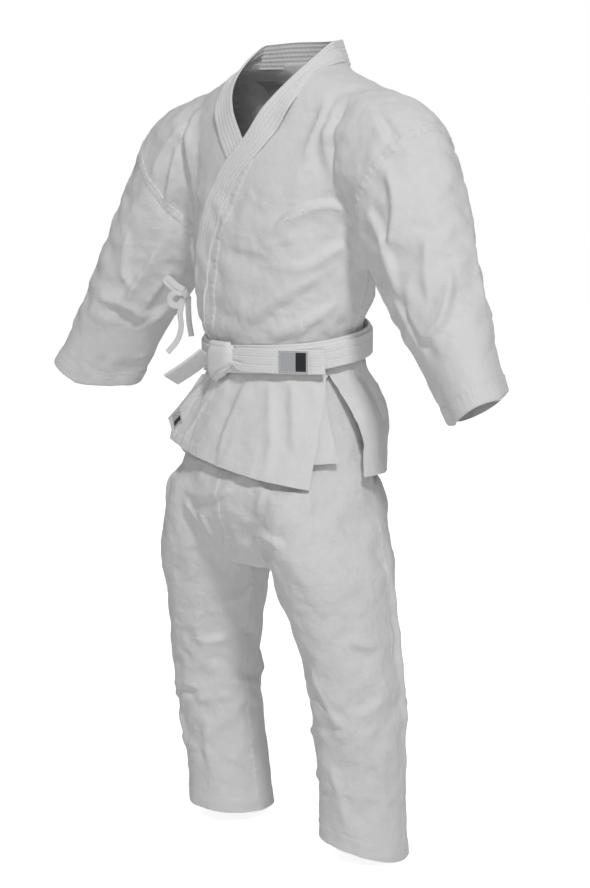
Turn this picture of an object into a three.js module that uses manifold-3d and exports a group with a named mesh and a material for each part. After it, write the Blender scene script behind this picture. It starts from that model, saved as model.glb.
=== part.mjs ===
// Martial arts uniform: wrap jacket, belt and trousers, hanging as they do on a standing wearer.
// Millimetres. The wearer faces -Y, the wearer's left is +X, and +Z is up.
// Heights below count up from the trouser hems; the whole group is then lowered so that its
// origin lies between the shoulders, where the wearer holds the uniform up.

import * as THREE from 'three';
import { mergeVertices } from 'three/addons/utils/BufferGeometryUtils.js';
import Module from 'manifold-3d';

const wasm = await Module();
wasm.setup();

// ---- driving dimensions -------------------------------------------------------------------

const SHOULDER_HEIGHT = 1215;
const CLOTH = 1.6;
const GAP = 0.4;
const LEFT_LAYER = 4.8;
const SEAM_Y = 8;

// Body sections of the jacket's inner face: height, centre Y, half width, half depth.
const BODY = [
  [560, -20, 198, 146], [600, -20, 194, 141], [650, -17, 186, 134], [700, -12, 173, 124],
  [740, -7, 159, 113], [780, -3, 144, 102], [805, -2, 139, 97], [840, -2, 140, 98],
  [875, -3, 155, 107], [950, -4, 173, 112], [1040, 0, 188, 113], [1110, 6, 197, 106],
  [1160, 10, 197, 97], [1190, 12, 194, 91], [1212, 15, 183, 86], [1229, 17, 154, 81],
  [1243, 18, 118, 77], [1254, 19, 88, 74],
];
// Trouser seat sections, outer face.
const SEAT = [
  [470, -24, 130, 74], [500, -28, 178, 108], [530, -31, 190, 124], [560, -31, 188, 128],
  [600, -28, 181, 127], [650, -21, 173, 122], [700, -15, 159, 112], [740, -9, 147, 103],
  [780, -3, 135, 94], [805, -2, 131, 90], [835, -2, 130, 89],
];
// Leg sections, outer face: height, distance from the middle, centre Y, half width, half depth.
const LEG = [
  [0, 155, 21, 69, 71], [100, 158, 13, 67, 68], [200, 162, 1, 69, 70], [300, 160, -11, 72, 75],
  [400, 144, -23, 78, 86], [470, 131, -29, 84, 96], [520, 116, -30, 84, 101], [560, 104, -30, 81, 100],
  [600, 95, -28, 76, 96],
];
// Sleeve sections: X, Y, Z, axis angle below level, half size in the arm plane,
// half size across it, twist of the section about the arm.
const SLEEVE = [
  [130, 12, 1130, 0, 98, 82, 0], [225, 8, 1098, 28, 101, 85, 0], [268, -2, 1022, 55, 98, 80, 6],
  [320, -16, 930, 63, 84, 71, 22], [377, -28, 838, 60, 74, 58, 36], [430, -38, 752, 57, 72, 46, 45],
];

// The waist line rises from front to back, as the belt does.
const WAIST_TILT = 0.2;
const TILT_CENTRE_Y = -20;
const TILT_FADE = [560, 690, 880, 1060];

const BELT = { width: 38, thick: 3.2, innerHeight: 821, outerHeight: 815, clear: 11.6 };
const KNOT = { x: -46, width: 50, height: 50, depth: 15 };

const SHOULDER = { x: 190, z: 1112, radius: 132 };
const HIP = { y: -2, z: 580, radius: 158 };
const BACK_FLAP_TOP = 752;
const FRONT_FLAP_TOP = [[-230, 716], [-150, 738], [-100, 753], [0, 765], [100, 753], [150, 738], [230, 716]];

const LAPEL = { thick: 2.4, leftOffset: 6.8, rightOffset: 2.0 };
// Lapel edges as seen from the front: X and height of the free edge and of the sewn edge.
const LAPEL_FREE = [[-118, 770], [-118, 805], [-116, 828], [-108, 892], [-92, 971], [-64, 1043], [-31, 1104], [6, 1145]];
const LAPEL_SEWN = [[-76, 770], [-76, 805], [-74, 828], [-66, 885], [-51, 959], [-24, 1026], [4, 1079], [38, 1119]];
const UNDER_LAPEL_REACH = 0.78;
// The same edges where they climb to the neck.
const NECK_FREE = [[34, -86, 1190], [60, -58, 1230], [74, -14, 1268], [74, 26, 1294], [52, 70, 1300], [0, 90, 1300]];
const NECK_SEWN = [[64, -88, 1153], [84, -76, 1193], [97, -36, 1233], [99, 22, 1257], [68, 82, 1259], [0, 102, 1260]];

// ---- small helpers ------------------------------------------------------------------------

const smooth = (t) => {
  const k = Math.min(1, Math.max(0, t));
  return k * k * (3 - 2 * k);
};

const tiltFade = (z) => {
  const [low0, low1, high0, high1] = TILT_FADE;
  return smooth((z - low0) / (low1 - low0)) * smooth((high1 - z) / (high1 - high0));
};

const tilt = (p) => p.setZ(p.z + WAIST_TILT * (p.y - TILT_CENTRE_Y) * tiltFade(p.z));

// Smooth interpolation of a table whose rows are stations, at t from 0 to 1 along the rows.
const atStation = (table, t) => {
  const last = table.length - 1;
  const s = Math.min(last - 1e-6, Math.max(0, t * last));
  const i = Math.floor(s);
  const f = s - i;
  const row = (k) => table[Math.min(last, Math.max(0, k))];
  return table[0].map((_, c) => {
    const [a, b, d, e] = [row(i - 1)[c], row(i)[c], row(i + 1)[c], row(i + 2)[c]];
    const m0 = (d - a) / 2;
    const m1 = (e - b) / 2;
    const f2 = f * f;
    const f3 = f2 * f;
    return (2 * f3 - 3 * f2 + 1) * b + (f3 - 2 * f2 + f) * m0 + (3 * f2 - 2 * f3) * d + (f3 - f2) * m1;
  });
};

const stationOfHeight = (table, z) => {
  let low = 0;
  let high = 1;
  for (let i = 0; i < 40; i += 1) {
    const middle = (low + high) / 2;
    if (atStation(table, middle)[0] < z) low = middle;
    else high = middle;
  }
  return (low + high) / 2;
};

// ---- surfaces: each takes a turn u (0..1) and a station v (0..1) and returns a point -------

const ringSurface = (table, tilted) => (u, v) => {
  const [z, y, a, b] = atStation(table, v);
  const turn = u * 2 * Math.PI;
  const p = new THREE.Vector3(a * Math.sin(turn), y - b * Math.cos(turn), z);
  return tilted ? tilt(p) : p;
};

const legSurface = (side) => (u, v) => {
  const [z, x, y, a, b] = atStation(LEG, v);
  const turn = u * 2 * Math.PI;
  return new THREE.Vector3(side * x + a * Math.sin(turn), y - b * Math.cos(turn), z);
};

const sleeveSurface = (side) => (u, v) => {
  const [x, y, z, drop, inPlane, across, twist] = atStation(SLEEVE, v);
  const slope = THREE.MathUtils.degToRad(drop);
  const roll = THREE.MathUtils.degToRad(twist);
  const outward = new THREE.Vector3(Math.sin(slope), 0, Math.cos(slope));
  const back = new THREE.Vector3(0, 1, 0);
  const major = outward.clone().multiplyScalar(Math.cos(roll)).addScaledVector(back, -Math.sin(roll));
  const minor = outward.clone().multiplyScalar(Math.sin(roll)).addScaledVector(back, Math.cos(roll));
  const turn = -side * u * 2 * Math.PI;
  const p = new THREE.Vector3(x, y, z)
    .addScaledVector(major, inPlane * Math.cos(turn))
    .addScaledVector(minor, across * Math.sin(turn));
  p.x *= side;
  return p;
};

const bodySurface = ringSurface(BODY, true);
const seatSurface = ringSurface(SEAT, true);

const normalAt = (surface, u, v) => {
  const du = 0.002;
  const dv = 0.004;
  const v0 = Math.max(0, v - dv);
  const v1 = Math.min(1, v + dv);
  const along = surface(u + du, v).sub(surface(u - du, v));
  const up = surface(u, v1).sub(surface(u, v0));
  return along.cross(up).normalize();
};

const offsetPoint = (surface, u, v, distance) => {
  const p = surface(u, v);
  const d = typeof distance === 'function' ? distance(p) : distance;
  return p.addScaledVector(normalAt(surface, u, v), d);
};

// ---- closed meshes ------------------------------------------------------------------------

const signedVolume = (points, faces) => faces.reduce(
  (sum, [a, b, c]) => sum + points[a].dot(points[b].clone().cross(points[c])) / 6, 0);

const geometryFrom = (points, faces) => {
  const facesOut = signedVolume(points, faces) < 0 ? faces.map(([a, b, c]) => [a, c, b]) : faces;
  const geometry = new THREE.BufferGeometry();
  const positions = points.flatMap((p) => [p.x, p.y, p.z]);
  geometry.setAttribute('position', new THREE.Float32BufferAttribute(positions, 3));
  geometry.setIndex(facesOut.flat());
  return geometry;
};

// A closed body from rings of points, each ring turning the same way, with both ends filled in.
const ringsToGeometry = (rings) => {
  const count = rings[0].length;
  const points = rings.flat();
  const faces = [];
  for (let r = 0; r < rings.length - 1; r += 1) {
    for (let i = 0; i < count; i += 1) {
      const j = (i + 1) % count;
      const [a, b] = [r * count + i, r * count + j];
      faces.push([a, b, b + count], [a, b + count, a + count]);
    }
  }
  const addEnd = (ring, start, flip) => {
    const middle = ring.reduce((sum, p) => sum.add(p), new THREE.Vector3()).divideScalar(count);
    const hub = points.push(middle) - 1;
    for (let i = 0; i < count; i += 1) {
      const [a, b] = [start + i, start + ((i + 1) % count)];
      faces.push(flip ? [b, a, hub] : [a, b, hub]);
    }
  };
  addEnd(rings[0], 0, true);
  addEnd(rings[rings.length - 1], (rings.length - 1) * count, false);
  return geometryFrom(points, faces);
};

const toSolid = (geometry) => {
  const bare = geometry.clone();
  bare.deleteAttribute('normal');
  bare.deleteAttribute('uv');
  const merged = mergeVertices(bare, 1e-4);
  return new wasm.Manifold(new wasm.Mesh({
    numProp: 3,
    vertProperties: new Float32Array(merged.attributes.position.array),
    triVerts: new Uint32Array(merged.index.array),
  }));
};

const toGeometry = (solid) => {
  const parts = solid.decompose().sort((a, b) => b.volume() - a.volume());
  const mesh = parts[0].getMesh();
  const geometry = new THREE.BufferGeometry();
  geometry.setAttribute('position', new THREE.Float32BufferAttribute(mesh.vertProperties, 3));
  geometry.setIndex([...mesh.triVerts]);
  return geometry;
};

// A filled loft of a surface, moved outward by a distance. The span gives its first and last
// station, and how far it overruns each of them.
const WHOLE = { from: 0, to: 1, before: 0, after: 0 };
const centreOf = (ring) => ring.reduce((sum, p) => sum.add(p), new THREE.Vector3()).divideScalar(ring.length);
const loft = (surface, distance, turns, rows, span = {}) => {
  const { from, to, before, after } = { ...WHOLE, ...span };
  const rings = [];
  for (let r = 0; r <= rows; r += 1) {
    const v = from + ((to - from) * r) / rows;
    rings.push(Array.from({ length: turns }, (_, i) => offsetPoint(surface, i / turns, v, distance)));
  }
  const overrun = (ring, next, length) => {
    const step = centreOf(ring).sub(centreOf(next)).setLength(length);
    return ring.map((p) => p.clone().add(step));
  };
  if (before) rings.unshift(overrun(rings[0], rings[1], before));
  if (after) rings.push(overrun(rings[rings.length - 1], rings[rings.length - 2], after));
  return toSolid(ringsToGeometry(rings));
};
const OPEN_ENDS = { before: 8, after: 8 };

// An open band round a surface: a hollow ring between two distances from it.
const ringBand = (surface, low, high, turns, rows, from = 0, to = 1) => {
  const stations = Array.from({ length: rows + 1 }, (_, r) => from + ((to - from) * r) / rows);
  const profile = [
    ...stations.map((v) => [v, high]),
    ...[...stations].reverse().map((v) => [v, low]),
  ];
  const count = profile.length;
  const points = [];
  const faces = [];
  for (let i = 0; i < turns; i += 1) {
    profile.forEach(([v, distance], k) => {
      const next = ((i + 1) % turns) * count;
      const m = (k + 1) % count;
      points.push(offsetPoint(surface, i / turns, v, distance));
      faces.push([i * count + k, next + k, next + m], [i * count + k, next + m, i * count + m]);
    });
  }
  return geometryFrom(points, faces);
};

// A strip between two edge curves with a thickness: edges(s) gives the two edge points and the
// outward direction, grow widens the strip on every side.
const strip = (edges, steps, low, high, grow = 0) => {
  const rings = [];
  for (let i = 0; i <= steps; i += 1) {
    const { free, sewn, out } = edges(i / steps);
    const wide = free.clone().sub(sewn).normalize();
    const f = free.clone().addScaledVector(wide, grow);
    const s = sewn.clone().addScaledVector(wide, -grow);
    rings.push([
      f.clone().addScaledVector(out, low - grow), s.clone().addScaledVector(out, low - grow),
      s.clone().addScaledVector(out, high + grow), f.clone().addScaledVector(out, high + grow),
    ]);
  }
  return ringsToGeometry(rings);
};

// Prisms that bound a piece: an outline seen from the front, from the side or from above.
const prism = (outline, from, to, place) => {
  const shape = new THREE.Shape(outline.map(([a, b]) => new THREE.Vector2(a, b)));
  const geometry = new THREE.ExtrudeGeometry(shape, { depth: to - from, bevelEnabled: false });
  geometry.translate(0, 0, from);
  geometry.applyMatrix4(place);
  return toSolid(geometry);
};
const FRONT_VIEW = new THREE.Matrix4().makeBasis(
  new THREE.Vector3(1, 0, 0), new THREE.Vector3(0, 0, 1), new THREE.Vector3(0, -1, 0));
const SIDE_VIEW = new THREE.Matrix4().makeBasis(
  new THREE.Vector3(0, 1, 0), new THREE.Vector3(0, 0, 1), new THREE.Vector3(1, 0, 0));
const frontPrism = (outline, y0 = -400, y1 = 400) => prism(outline, -y1, -y0, FRONT_VIEW);
const sidePrism = (outline, x0 = -600, x1 = 600) => prism(outline, x0, x1, SIDE_VIEW);
const planPrism = (outline, z0 = -100, z1 = 1500) => prism(outline, z0, z1, new THREE.Matrix4());

const cylinderAcross = (radius, x, y, z, alongX) => {
  const geometry = new THREE.CylinderGeometry(radius, radius, 700, 72);
  if (alongX) geometry.rotateZ(Math.PI / 2);
  geometry.translate(x, y, z);
  return toSolid(geometry);
};

// ---- the group and its meshes ---------------------------------------------------------------

const uniform = new THREE.Group();
uniform.position.z = -SHOULDER_HEIGHT;

const COTTON = '#d9d8d6';
const COTTON_SHADE = '#cfcecc';
const WEBBING = '#dddcda';
const TAPE = '#c9c8c6';
const LABEL = '#8d9196';

const addMesh = (name, geometry, colour) => {
  const material = new THREE.MeshStandardMaterial({ color: colour, roughness: 0.9, metalness: 0 });
  const mesh = new THREE.Mesh(geometry, material);
  mesh.name = name;
  uniform.add(mesh);
};
const addSolid = (name, solid, colour) => addMesh(name, toGeometry(solid), colour);

// ---- jacket ---------------------------------------------------------------------------------

const BODY_TURNS = 28;
const BODY_ROWS = 11;
const bodySpan = { from: stationOfHeight(BODY, 690) };
const bodyLoft = (distance, span = bodySpan) => loft(bodySurface, distance, BODY_TURNS, BODY_ROWS, span);

const leftLift = (p) => (p.y < SEAM_Y
  ? LEFT_LAYER * smooth((145 - p.x) / 40) * smooth((1200 - p.z) / 50)
  : 0);

const SLEEVE_TURNS = 18;
const SLEEVE_ROWS = 12;
const sleeveLoft = (side, distance, span = {}) =>
  loft(sleeveSurface(side), distance, SLEEVE_TURNS, SLEEVE_ROWS, span);
const shoulderBall = (side, extra) =>
  cylinderAcross(SHOULDER.radius + extra, side * SHOULDER.x, 0, SHOULDER.z, false);

// The jacket's cloth as one shell with armholes: the body and the cap over each shoulder.
const jacketShell = (distance) => {
  const outward = (extra) => (p) => (distance ? distance(p) : 0) + extra;
  let outer = bodyLoft(outward(CLOTH));
  let inner = bodyLoft(outward(0), { ...bodySpan, ...OPEN_ENDS });
  for (const side of [1, -1]) {
    outer = outer.add(sleeveLoft(side, CLOTH).intersect(shoulderBall(side, 0)));
    inner = inner.add(sleeveLoft(side, 0));
  }
  return outer.subtract(inner);
};

const seamOutline = (shift) => [
  [-700, -38 + shift], [-430, -38 + shift], [-150, SEAM_Y + shift], [150, SEAM_Y + shift],
  [430, -38 + shift], [700, -38 + shift],
];
const frontHalf = planPrism([[-700, -500], [700, -500], ...seamOutline(-GAP / 2).reverse()]);
const backHalf = planPrism([...seamOutline(GAP / 2), [700, 500], [-700, 500]]);

const aboveFrontFlaps = frontPrism([...FRONT_FLAP_TOP, [600, 1251], [-600, 1251]]);
const aboveBackFlap = frontPrism([[-600, BACK_FLAP_TOP], [600, BACK_FLAP_TOP], [600, 1251], [-600, 1251]]);
const halfSpace = (side, edge) => {
  const [x0, x1] = side > 0 ? [edge, 700] : [-700, -edge];
  return frontPrism([[x0, -50], [x1, -50], [x1, 1400], [x0, 1400]]);
};

// Lapels and neck band: edges in space, the lower ones laid on the front of the jacket.
const frontOfBody = (x, z) => {
  let y = -100;
  for (let i = 0; i < 6; i += 1) {
    const flat = z - WAIST_TILT * (y - TILT_CENTRE_Y) * tiltFade(z);
    const [, centre, a, b] = atStation(BODY, stationOfHeight(BODY, flat));
    y = centre - b * Math.sqrt(Math.max(0.02, 1 - (x / a) ** 2));
  }
  return y;
};
const frontNormal = (x, z) => {
  const fx = (frontOfBody(x + 2, z) - frontOfBody(x - 2, z)) / 4;
  const fz = (frontOfBody(x, z + 2) - frontOfBody(x, z - 2)) / 4;
  return new THREE.Vector3(fx, -1, fz).normalize();
};
const onFront = ([x, z], distance) =>
  new THREE.Vector3(x, frontOfBody(x, z), z).addScaledVector(frontNormal(x, z), distance);

const curveThrough = (points) => new THREE.CatmullRomCurve3(points, false, 'centripetal');

// side 1 is the left lapel, which lies on top; side -1 is the right one, under it.
const bandFrame = (free, sewn, s) => {
  const f = free.getPoint(s);
  const w = sewn.getPoint(s);
  const out = free.getTangent(s).cross(f.clone().sub(w)).normalize();
  const middle = f.clone().add(w).multiplyScalar(0.5);
  const away = middle.x * out.x + (middle.y - 15) * out.y;
  return { free: f, sewn: w, out: out.multiplyScalar(Math.sign(away)) };
};
const lapelEdges = (side) => {
  const offset = side > 0 ? LAPEL.leftOffset : LAPEL.rightOffset;
  const reach = (x) => (side > 0 ? x : -(x < 0 ? x * UNDER_LAPEL_REACH : x));
  const lower = (table) => table.map(([x, z]) => onFront([reach(x), z], offset));
  const upper = (table) => table.slice(0, 4).map(([x, y, z]) => new THREE.Vector3(side * x, y, z));
  const free = curveThrough([...lower(LAPEL_FREE), ...upper(NECK_FREE)]);
  const sewn = curveThrough([...lower(LAPEL_SEWN), ...upper(NECK_SEWN)]);
  return (s) => bandFrame(free, sewn, s);
};
const neckCurve = (table) => {
  const half = table.slice(3).map(([x, y, z]) => new THREE.Vector3(x, y, z));
  const other = half.slice(0, -1).map((p) => new THREE.Vector3(-p.x, p.y, p.z)).reverse();
  return curveThrough([...half, ...other]);
};
const neckFree = neckCurve(NECK_FREE);
const neckSewn = neckCurve(NECK_SEWN);
const neckEdges = (s) => bandFrame(neckFree, neckSewn, 0.002 + 0.996 * s);

const leftLapel = lapelEdges(1);
const rightLapel = lapelEdges(-1);
const bands = [
  ['left_lapel', leftLapel, 26],
  ['right_lapel', rightLapel, 26],
  ['neck_band', neckEdges, 10],
];
for (const [name, edges, steps] of bands) {
  addMesh(name, strip(edges, steps, 0, LAPEL.thick), WEBBING);
}
const bandRoom = bands.map(([, edges, steps]) => toSolid(strip(edges, steps, 0, LAPEL.thick, GAP)));
const clearOfBands = (solid) => bandRoom.reduce((left, room) => left.subtract(room), solid);

// Jacket panels, cut from the two shells along their seams. Seams are drawn from the front.
const middleOf = (a, b) => a.map((p, i) => [(p[0] + b[i][0]) / 2, (p[1] + b[i][1]) / 2]);
const neckLine = NECK_FREE.slice(0, 3).map(([x, , z], i) =>
  [(x + NECK_SEWN[i][0]) / 2, (z + NECK_SEWN[i][2]) / 2]);
const lapelLine = [...middleOf(LAPEL_FREE, LAPEL_SEWN), ...neckLine, [92, 1256]];
const PUCKER_SEAM = [[-88, 600], [-85, 730], [-75, 790], [-60, 830], [-42, 924], [-29, 988], [26, 1106]];

const mirrored = (side, line) => line.map(([x, z]) => [side > 0 ? x : -(x < 0 ? x * UNDER_LAPEL_REACH : x), z]);
const shifted = (line, dx) => line.map(([x, z]) => [x + dx, z]);
const besideLine = (side, line) => {
  const drawn = mirrored(side, line);
  const [first, last] = [drawn[0], drawn[drawn.length - 1]];
  return frontPrism([[first[0], 500], ...drawn, [last[0], 1400], [side * 700, 1400], [side * 700, 500]]);
};
const seamTop = PUCKER_SEAM[PUCKER_SEAM.length - 1][1];
const outsideSeam = [...PUCKER_SEAM, ...lapelLine.filter(([, z]) => z > seamTop + 10)];

const baseShell = jacketShell(null);
const raisedShell = jacketShell(leftLift);
const sideNotch = sidePrism([[-46, 600], [50, 600], [50, BACK_FLAP_TOP], [-46, BACK_FLAP_TOP]]);
const frontRoom = frontHalf.intersect(aboveFrontFlaps).subtract(sideNotch);
const addFront = (side, shell) => {
  const word = side > 0 ? 'left' : 'right';
  const front = clearOfBands(shell.intersect(frontRoom).intersect(besideLine(side, lapelLine)));
  const main = front.intersect(besideLine(side, shifted(outsideSeam, GAP / 2)));
  const extension = front.subtract(besideLine(side, shifted(outsideSeam, -GAP / 2)));
  addSolid(`${word}_front`, main, COTTON);
  addSolid(`${word}_front_extension`, extension, COTTON);
};
addFront(1, raisedShell);
addFront(-1, baseShell);

const backCloth = clearOfBands(baseShell.intersect(backHalf).intersect(aboveBackFlap));
for (const side of [1, -1]) {
  const word = side > 0 ? 'left' : 'right';
  addSolid(`${word}_back`, backCloth.intersect(halfSpace(side, GAP / 2)), COTTON);
}

// Sleeves, beyond the round seam that the shoulder turns in.
const CUFF_START = 1 - 1 / SLEEVE_ROWS;
for (const side of [1, -1]) {
  const word = side > 0 ? 'left' : 'right';
  const surface = sleeveSurface(side);
  const tube = sleeveLoft(side, CLOTH)
    .subtract(sleeveLoft(side, 0, OPEN_ENDS))
    .subtract(shoulderBall(side, GAP))
    .subtract(bodyLoft(CLOTH + GAP))
    .intersect(halfSpace(side, 150));
  addSolid(`${word}_sleeve_front`, tube.intersect(frontHalf), COTTON);
  addSolid(`${word}_sleeve_back`, tube.intersect(backHalf), COTTON_SHADE);
  const cuff = ringBand(surface, CLOTH + 1.2, CLOTH * 2 + 1.2, SLEEVE_TURNS, 1, CUFF_START, 1);
  addMesh(`${word}_cuff_hem`, cuff, COTTON);
}

// ---- jacket skirt -----------------------------------------------------------------------------

// A slab that follows a front surface y(x, z) between two distances from it, inside an outline.
const frontSlab = (point, low, high, outline, xs, zs) => {
  const grid = (distance) => zs.map((z) => xs.map((x) => point([x, z], distance)));
  const layers = [grid(low), grid(high)];
  const rings = layers[0].map((row, r) => [...row, ...[...layers[1][r]].reverse()]);
  return toSolid(ringsToGeometry(rings)).intersect(frontPrism(outline));
};
const spread = (from, to, count) =>
  Array.from({ length: count + 1 }, (_, i) => from + ((to - from) * i) / count);

// Past its corner the front of the skirt runs on straight instead of turning round the hip.
const FLARE_X = -78;
const onSkirt = ([x, z], distance) => {
  if (x > FLARE_X) return onFront([x, z], distance);
  const slope = (frontOfBody(FLARE_X + 2, z) - frontOfBody(FLARE_X - 2, z)) / 4;
  const edge = onFront([FLARE_X, z], distance);
  return new THREE.Vector3(x, edge.y + slope * 0.7 * (x - FLARE_X), z);
};

const skirtXs = spread(-185, 165, 14);
const skirtZs = spread(592, 790, 4);
const flapTopBelow = (x0, x1) => {
  const inside = FRONT_FLAP_TOP.filter(([x]) => x > x0 && x < x1).map(([x, z]) => [x, z - 1]);
  const heightAt = (x) => {
    const i = FRONT_FLAP_TOP.findIndex(([edge]) => edge > x);
    const [[xa, za], [xb, zb]] = [FRONT_FLAP_TOP[i - 1], FRONT_FLAP_TOP[i]];
    return za + ((zb - za) * (x - xa)) / (xb - xa) - 1;
  };
  return [[x0, heightAt(x0)], ...inside, [x1, heightAt(x1)]];
};
const OUTER_FLAP = [[153, 608], [29, 630], [-65, 645], [-150, 661], [-152, 682], [-112, 735], ...flapTopBelow(-104, 144)];
const UNDER_FLAP = [[164, 650], [60, 640], [-60, 642], [-159, 648], [-157, 690], ...flapTopBelow(-150, 140)];
addSolid('outer_front_flap', frontSlab(onSkirt, 5.8, 5.8 + CLOTH, OUTER_FLAP, skirtXs, skirtZs), COTTON);
addSolid('under_front_flap',
  frontSlab(onFront, 0.8, 0.8 + CLOTH, UNDER_FLAP, spread(-160, 165, 13), skirtZs), COTTON_SHADE);

const OUTER_LAPEL_END = [[-93, 752], [-104, 752], [-172, 692], [-138, 666]];
const UNDER_LAPEL_END = [[68, 744], [102, 742], [124, 652], [86, 650]];
addSolid('left_lapel_end',
  frontSlab(onSkirt, 8.0, 8.0 + LAPEL.thick, OUTER_LAPEL_END, spread(-185, -85, 4), skirtZs), WEBBING);
addSolid('right_lapel_end',
  frontSlab(onFront, 3.6, 4.8, UNDER_LAPEL_END, spread(65, 140, 3), skirtZs), WEBBING);
const LAPEL_LABEL = [[-142, 712], [-160, 697], [-140, 677], [-122, 692]];
addSolid('lapel_label', frontSlab(onSkirt, 10.9, 11.7, LAPEL_LABEL, spread(-185, -110, 3), skirtZs), LABEL);

const BACK_FLAP_SIDE = [[-40, BACK_FLAP_TOP - 1], [-20, 681], [-28, 624], [400, 624], [400, BACK_FLAP_TOP - 1]];
const skirtShell = (low, high) => {
  const turn = stationOfHeight(BODY, 800);
  return loft(bodySurface, high, BODY_TURNS, 6, { to: turn })
    .subtract(loft(bodySurface, low, BODY_TURNS, 6, { to: turn, ...OPEN_ENDS }));
};
const backSpread = (extra) => (p) => 1.6 + 6 * smooth((Math.abs(p.x) - 90) / 60) + extra;
const backFlap = skirtShell(backSpread(0), backSpread(CLOTH)).intersect(sidePrism(BACK_FLAP_SIDE));
for (const side of [1, -1]) {
  const word = side > 0 ? 'left' : 'right';
  addSolid(`back_flap_${word}`, backFlap.intersect(halfSpace(side, GAP / 2)), COTTON);
}

// ---- belt ---------------------------------------------------------------------------------------

const waist = { y: -2, a: 139 + BELT.clear, b: 97 + BELT.clear };
const wrap = (centre, low, high) => ringBand((u, v) => tilt(new THREE.Vector3(
  waist.a * Math.sin(u * 2 * Math.PI), waist.y - waist.b * Math.cos(u * 2 * Math.PI),
  centre + BELT.width * (v - 0.5))), low, high, 40, 1);
const outerWrap = BELT.thick + GAP;
const beltFace = outerWrap + BELT.thick + GAP;
addMesh('belt_inner_wrap', wrap(BELT.innerHeight, 0, BELT.thick), WEBBING);
addMesh('belt_outer_wrap', wrap(BELT.outerHeight, outerWrap, outerWrap + BELT.thick), WEBBING);

const onBelt = ([x, z], distance) => {
  const [a, b] = [waist.a + beltFace + distance, waist.b + beltFace + distance];
  return new THREE.Vector3(x, waist.y - b * Math.sqrt(Math.max(0.02, 1 - (x / a) ** 2)), z);
};
const KNOT_OUTLINE = [
  [-74, 822], [-27, 823], [-21, 812], [-20, 790], [-34, 774], [-50, 766], [-64, 776], [-76, 796],
];
const knotXs = spread(-80, -14, 8);
addSolid('belt_knot', frontSlab(onBelt, 0, KNOT.depth, KNOT_OUTLINE, knotXs, [755, 795, 835]), WEBBING);
const TAIL_Z = 801;
const LEFT_TAIL = [[-19.4, TAIL_Z - 19], [143, TAIL_Z - 19], [143, TAIL_Z + 19], [-19.4, TAIL_Z + 19]];
addSolid('belt_tail_left',
  frontSlab(onBelt, 0.6, 0.6 + BELT.thick, LEFT_TAIL, spread(-24, 148, 24), [770, 830]), WEBBING);
const BELT_LABEL = [[64, TAIL_Z - 17], [104, TAIL_Z - 17], [104, TAIL_Z + 17], [64, TAIL_Z + 17]];
const SIZE_LABEL = [[108, TAIL_Z - 13], [124, TAIL_Z - 13], [124, TAIL_Z + 13], [108, TAIL_Z + 13]];
const labelXs = spread(56, 132, 8);
for (const [name, outline] of [['belt_label', BELT_LABEL], ['size_label', SIZE_LABEL]]) {
  const label = frontSlab(onBelt, BELT.thick + 0.9, BELT.thick + 1.7, outline, labelXs, [775, 825]);
  addSolid(name, label, LABEL);
}

// The right tail is a straight stiff end that sticks out past the hip.
const RIGHT_TAIL = { start: [-77.5, -122, 796], along: [-0.66, -0.33, -0.675], length: 74 };
const rightTail = () => {
  const along = new THREE.Vector3(...RIGHT_TAIL.along).normalize();
  const out = new THREE.Vector3(-0.35, -0.93, 0).normalize();
  const across = out.clone().cross(along).normalize();
  const face = along.clone().cross(across).normalize();
  const start = new THREE.Vector3(...RIGHT_TAIL.start);
  return (s) => {
    const middle = start.clone().addScaledVector(along, RIGHT_TAIL.length * s + 5);
    return {
      free: middle.clone().addScaledVector(across, BELT.width / 2),
      sewn: middle.clone().addScaledVector(across, -BELT.width / 2),
      out: face,
    };
  };
};
const knotRoom = frontSlab(onBelt, -1, KNOT.depth + 1,
  KNOT_OUTLINE.map(([x, z]) => [(x - KNOT.x) * 1.03 + KNOT.x, z]), knotXs, [755, 795, 835]);
addSolid('belt_tail_right', toSolid(strip(rightTail(), 6, 0, BELT.thick)).subtract(knotRoom), WEBBING);

// ---- side tie -------------------------------------------------------------------------------------

const RIBBON = { width: 12, thick: 1.2 };
const TIE_KNOT = [-171, -64, 893];
const ribbon = (points, twistAxis) => {
  const curve = curveThrough(points.map((p) => new THREE.Vector3(...p)));
  const side = new THREE.Vector3(...twistAxis).normalize();
  return strip((s) => {
    const middle = curve.getPoint(s);
    const out = curve.getTangent(s).cross(side).normalize();
    return {
      free: middle.clone().addScaledVector(side, RIBBON.width / 2),
      sewn: middle.clone().addScaledVector(side, -RIBBON.width / 2),
      out,
    };
  }, 14, -RIBBON.thick / 2, RIBBON.thick / 2);
};
const tieKnot = new THREE.BoxGeometry(12, 10, 14);
tieKnot.rotateZ(-0.9);
tieKnot.translate(...TIE_KNOT);
addMesh('tie_knot', tieKnot, TAPE);
const ACROSS = [0.7, -0.7, 0.1];
addMesh('tie_loop_upper', ribbon([[-178, -71, 902], [-189, -76, 909], [-198, -80, 917]], ACROSS), TAPE);
addMesh('tie_loop_lower', ribbon([[-180, -70, 894], [-190, -73, 894], [-196, -75, 884], [-190, -73, 874]], ACROSS), TAPE);
addMesh('tie_tail_long', ribbon([[-174, -69, 884], [-177, -72, 862], [-176, -71, 840], [-182, -74, 818], [-196, -82, 797]], ACROSS), TAPE);
addMesh('tie_tail_short', ribbon([[-167, -62, 884], [-167.5, -62.5, 868], [-166.5, -61.5, 846], [-164, -59, 826]], ACROSS), TAPE);

// ---- neck label -------------------------------------------------------------------------------------

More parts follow.
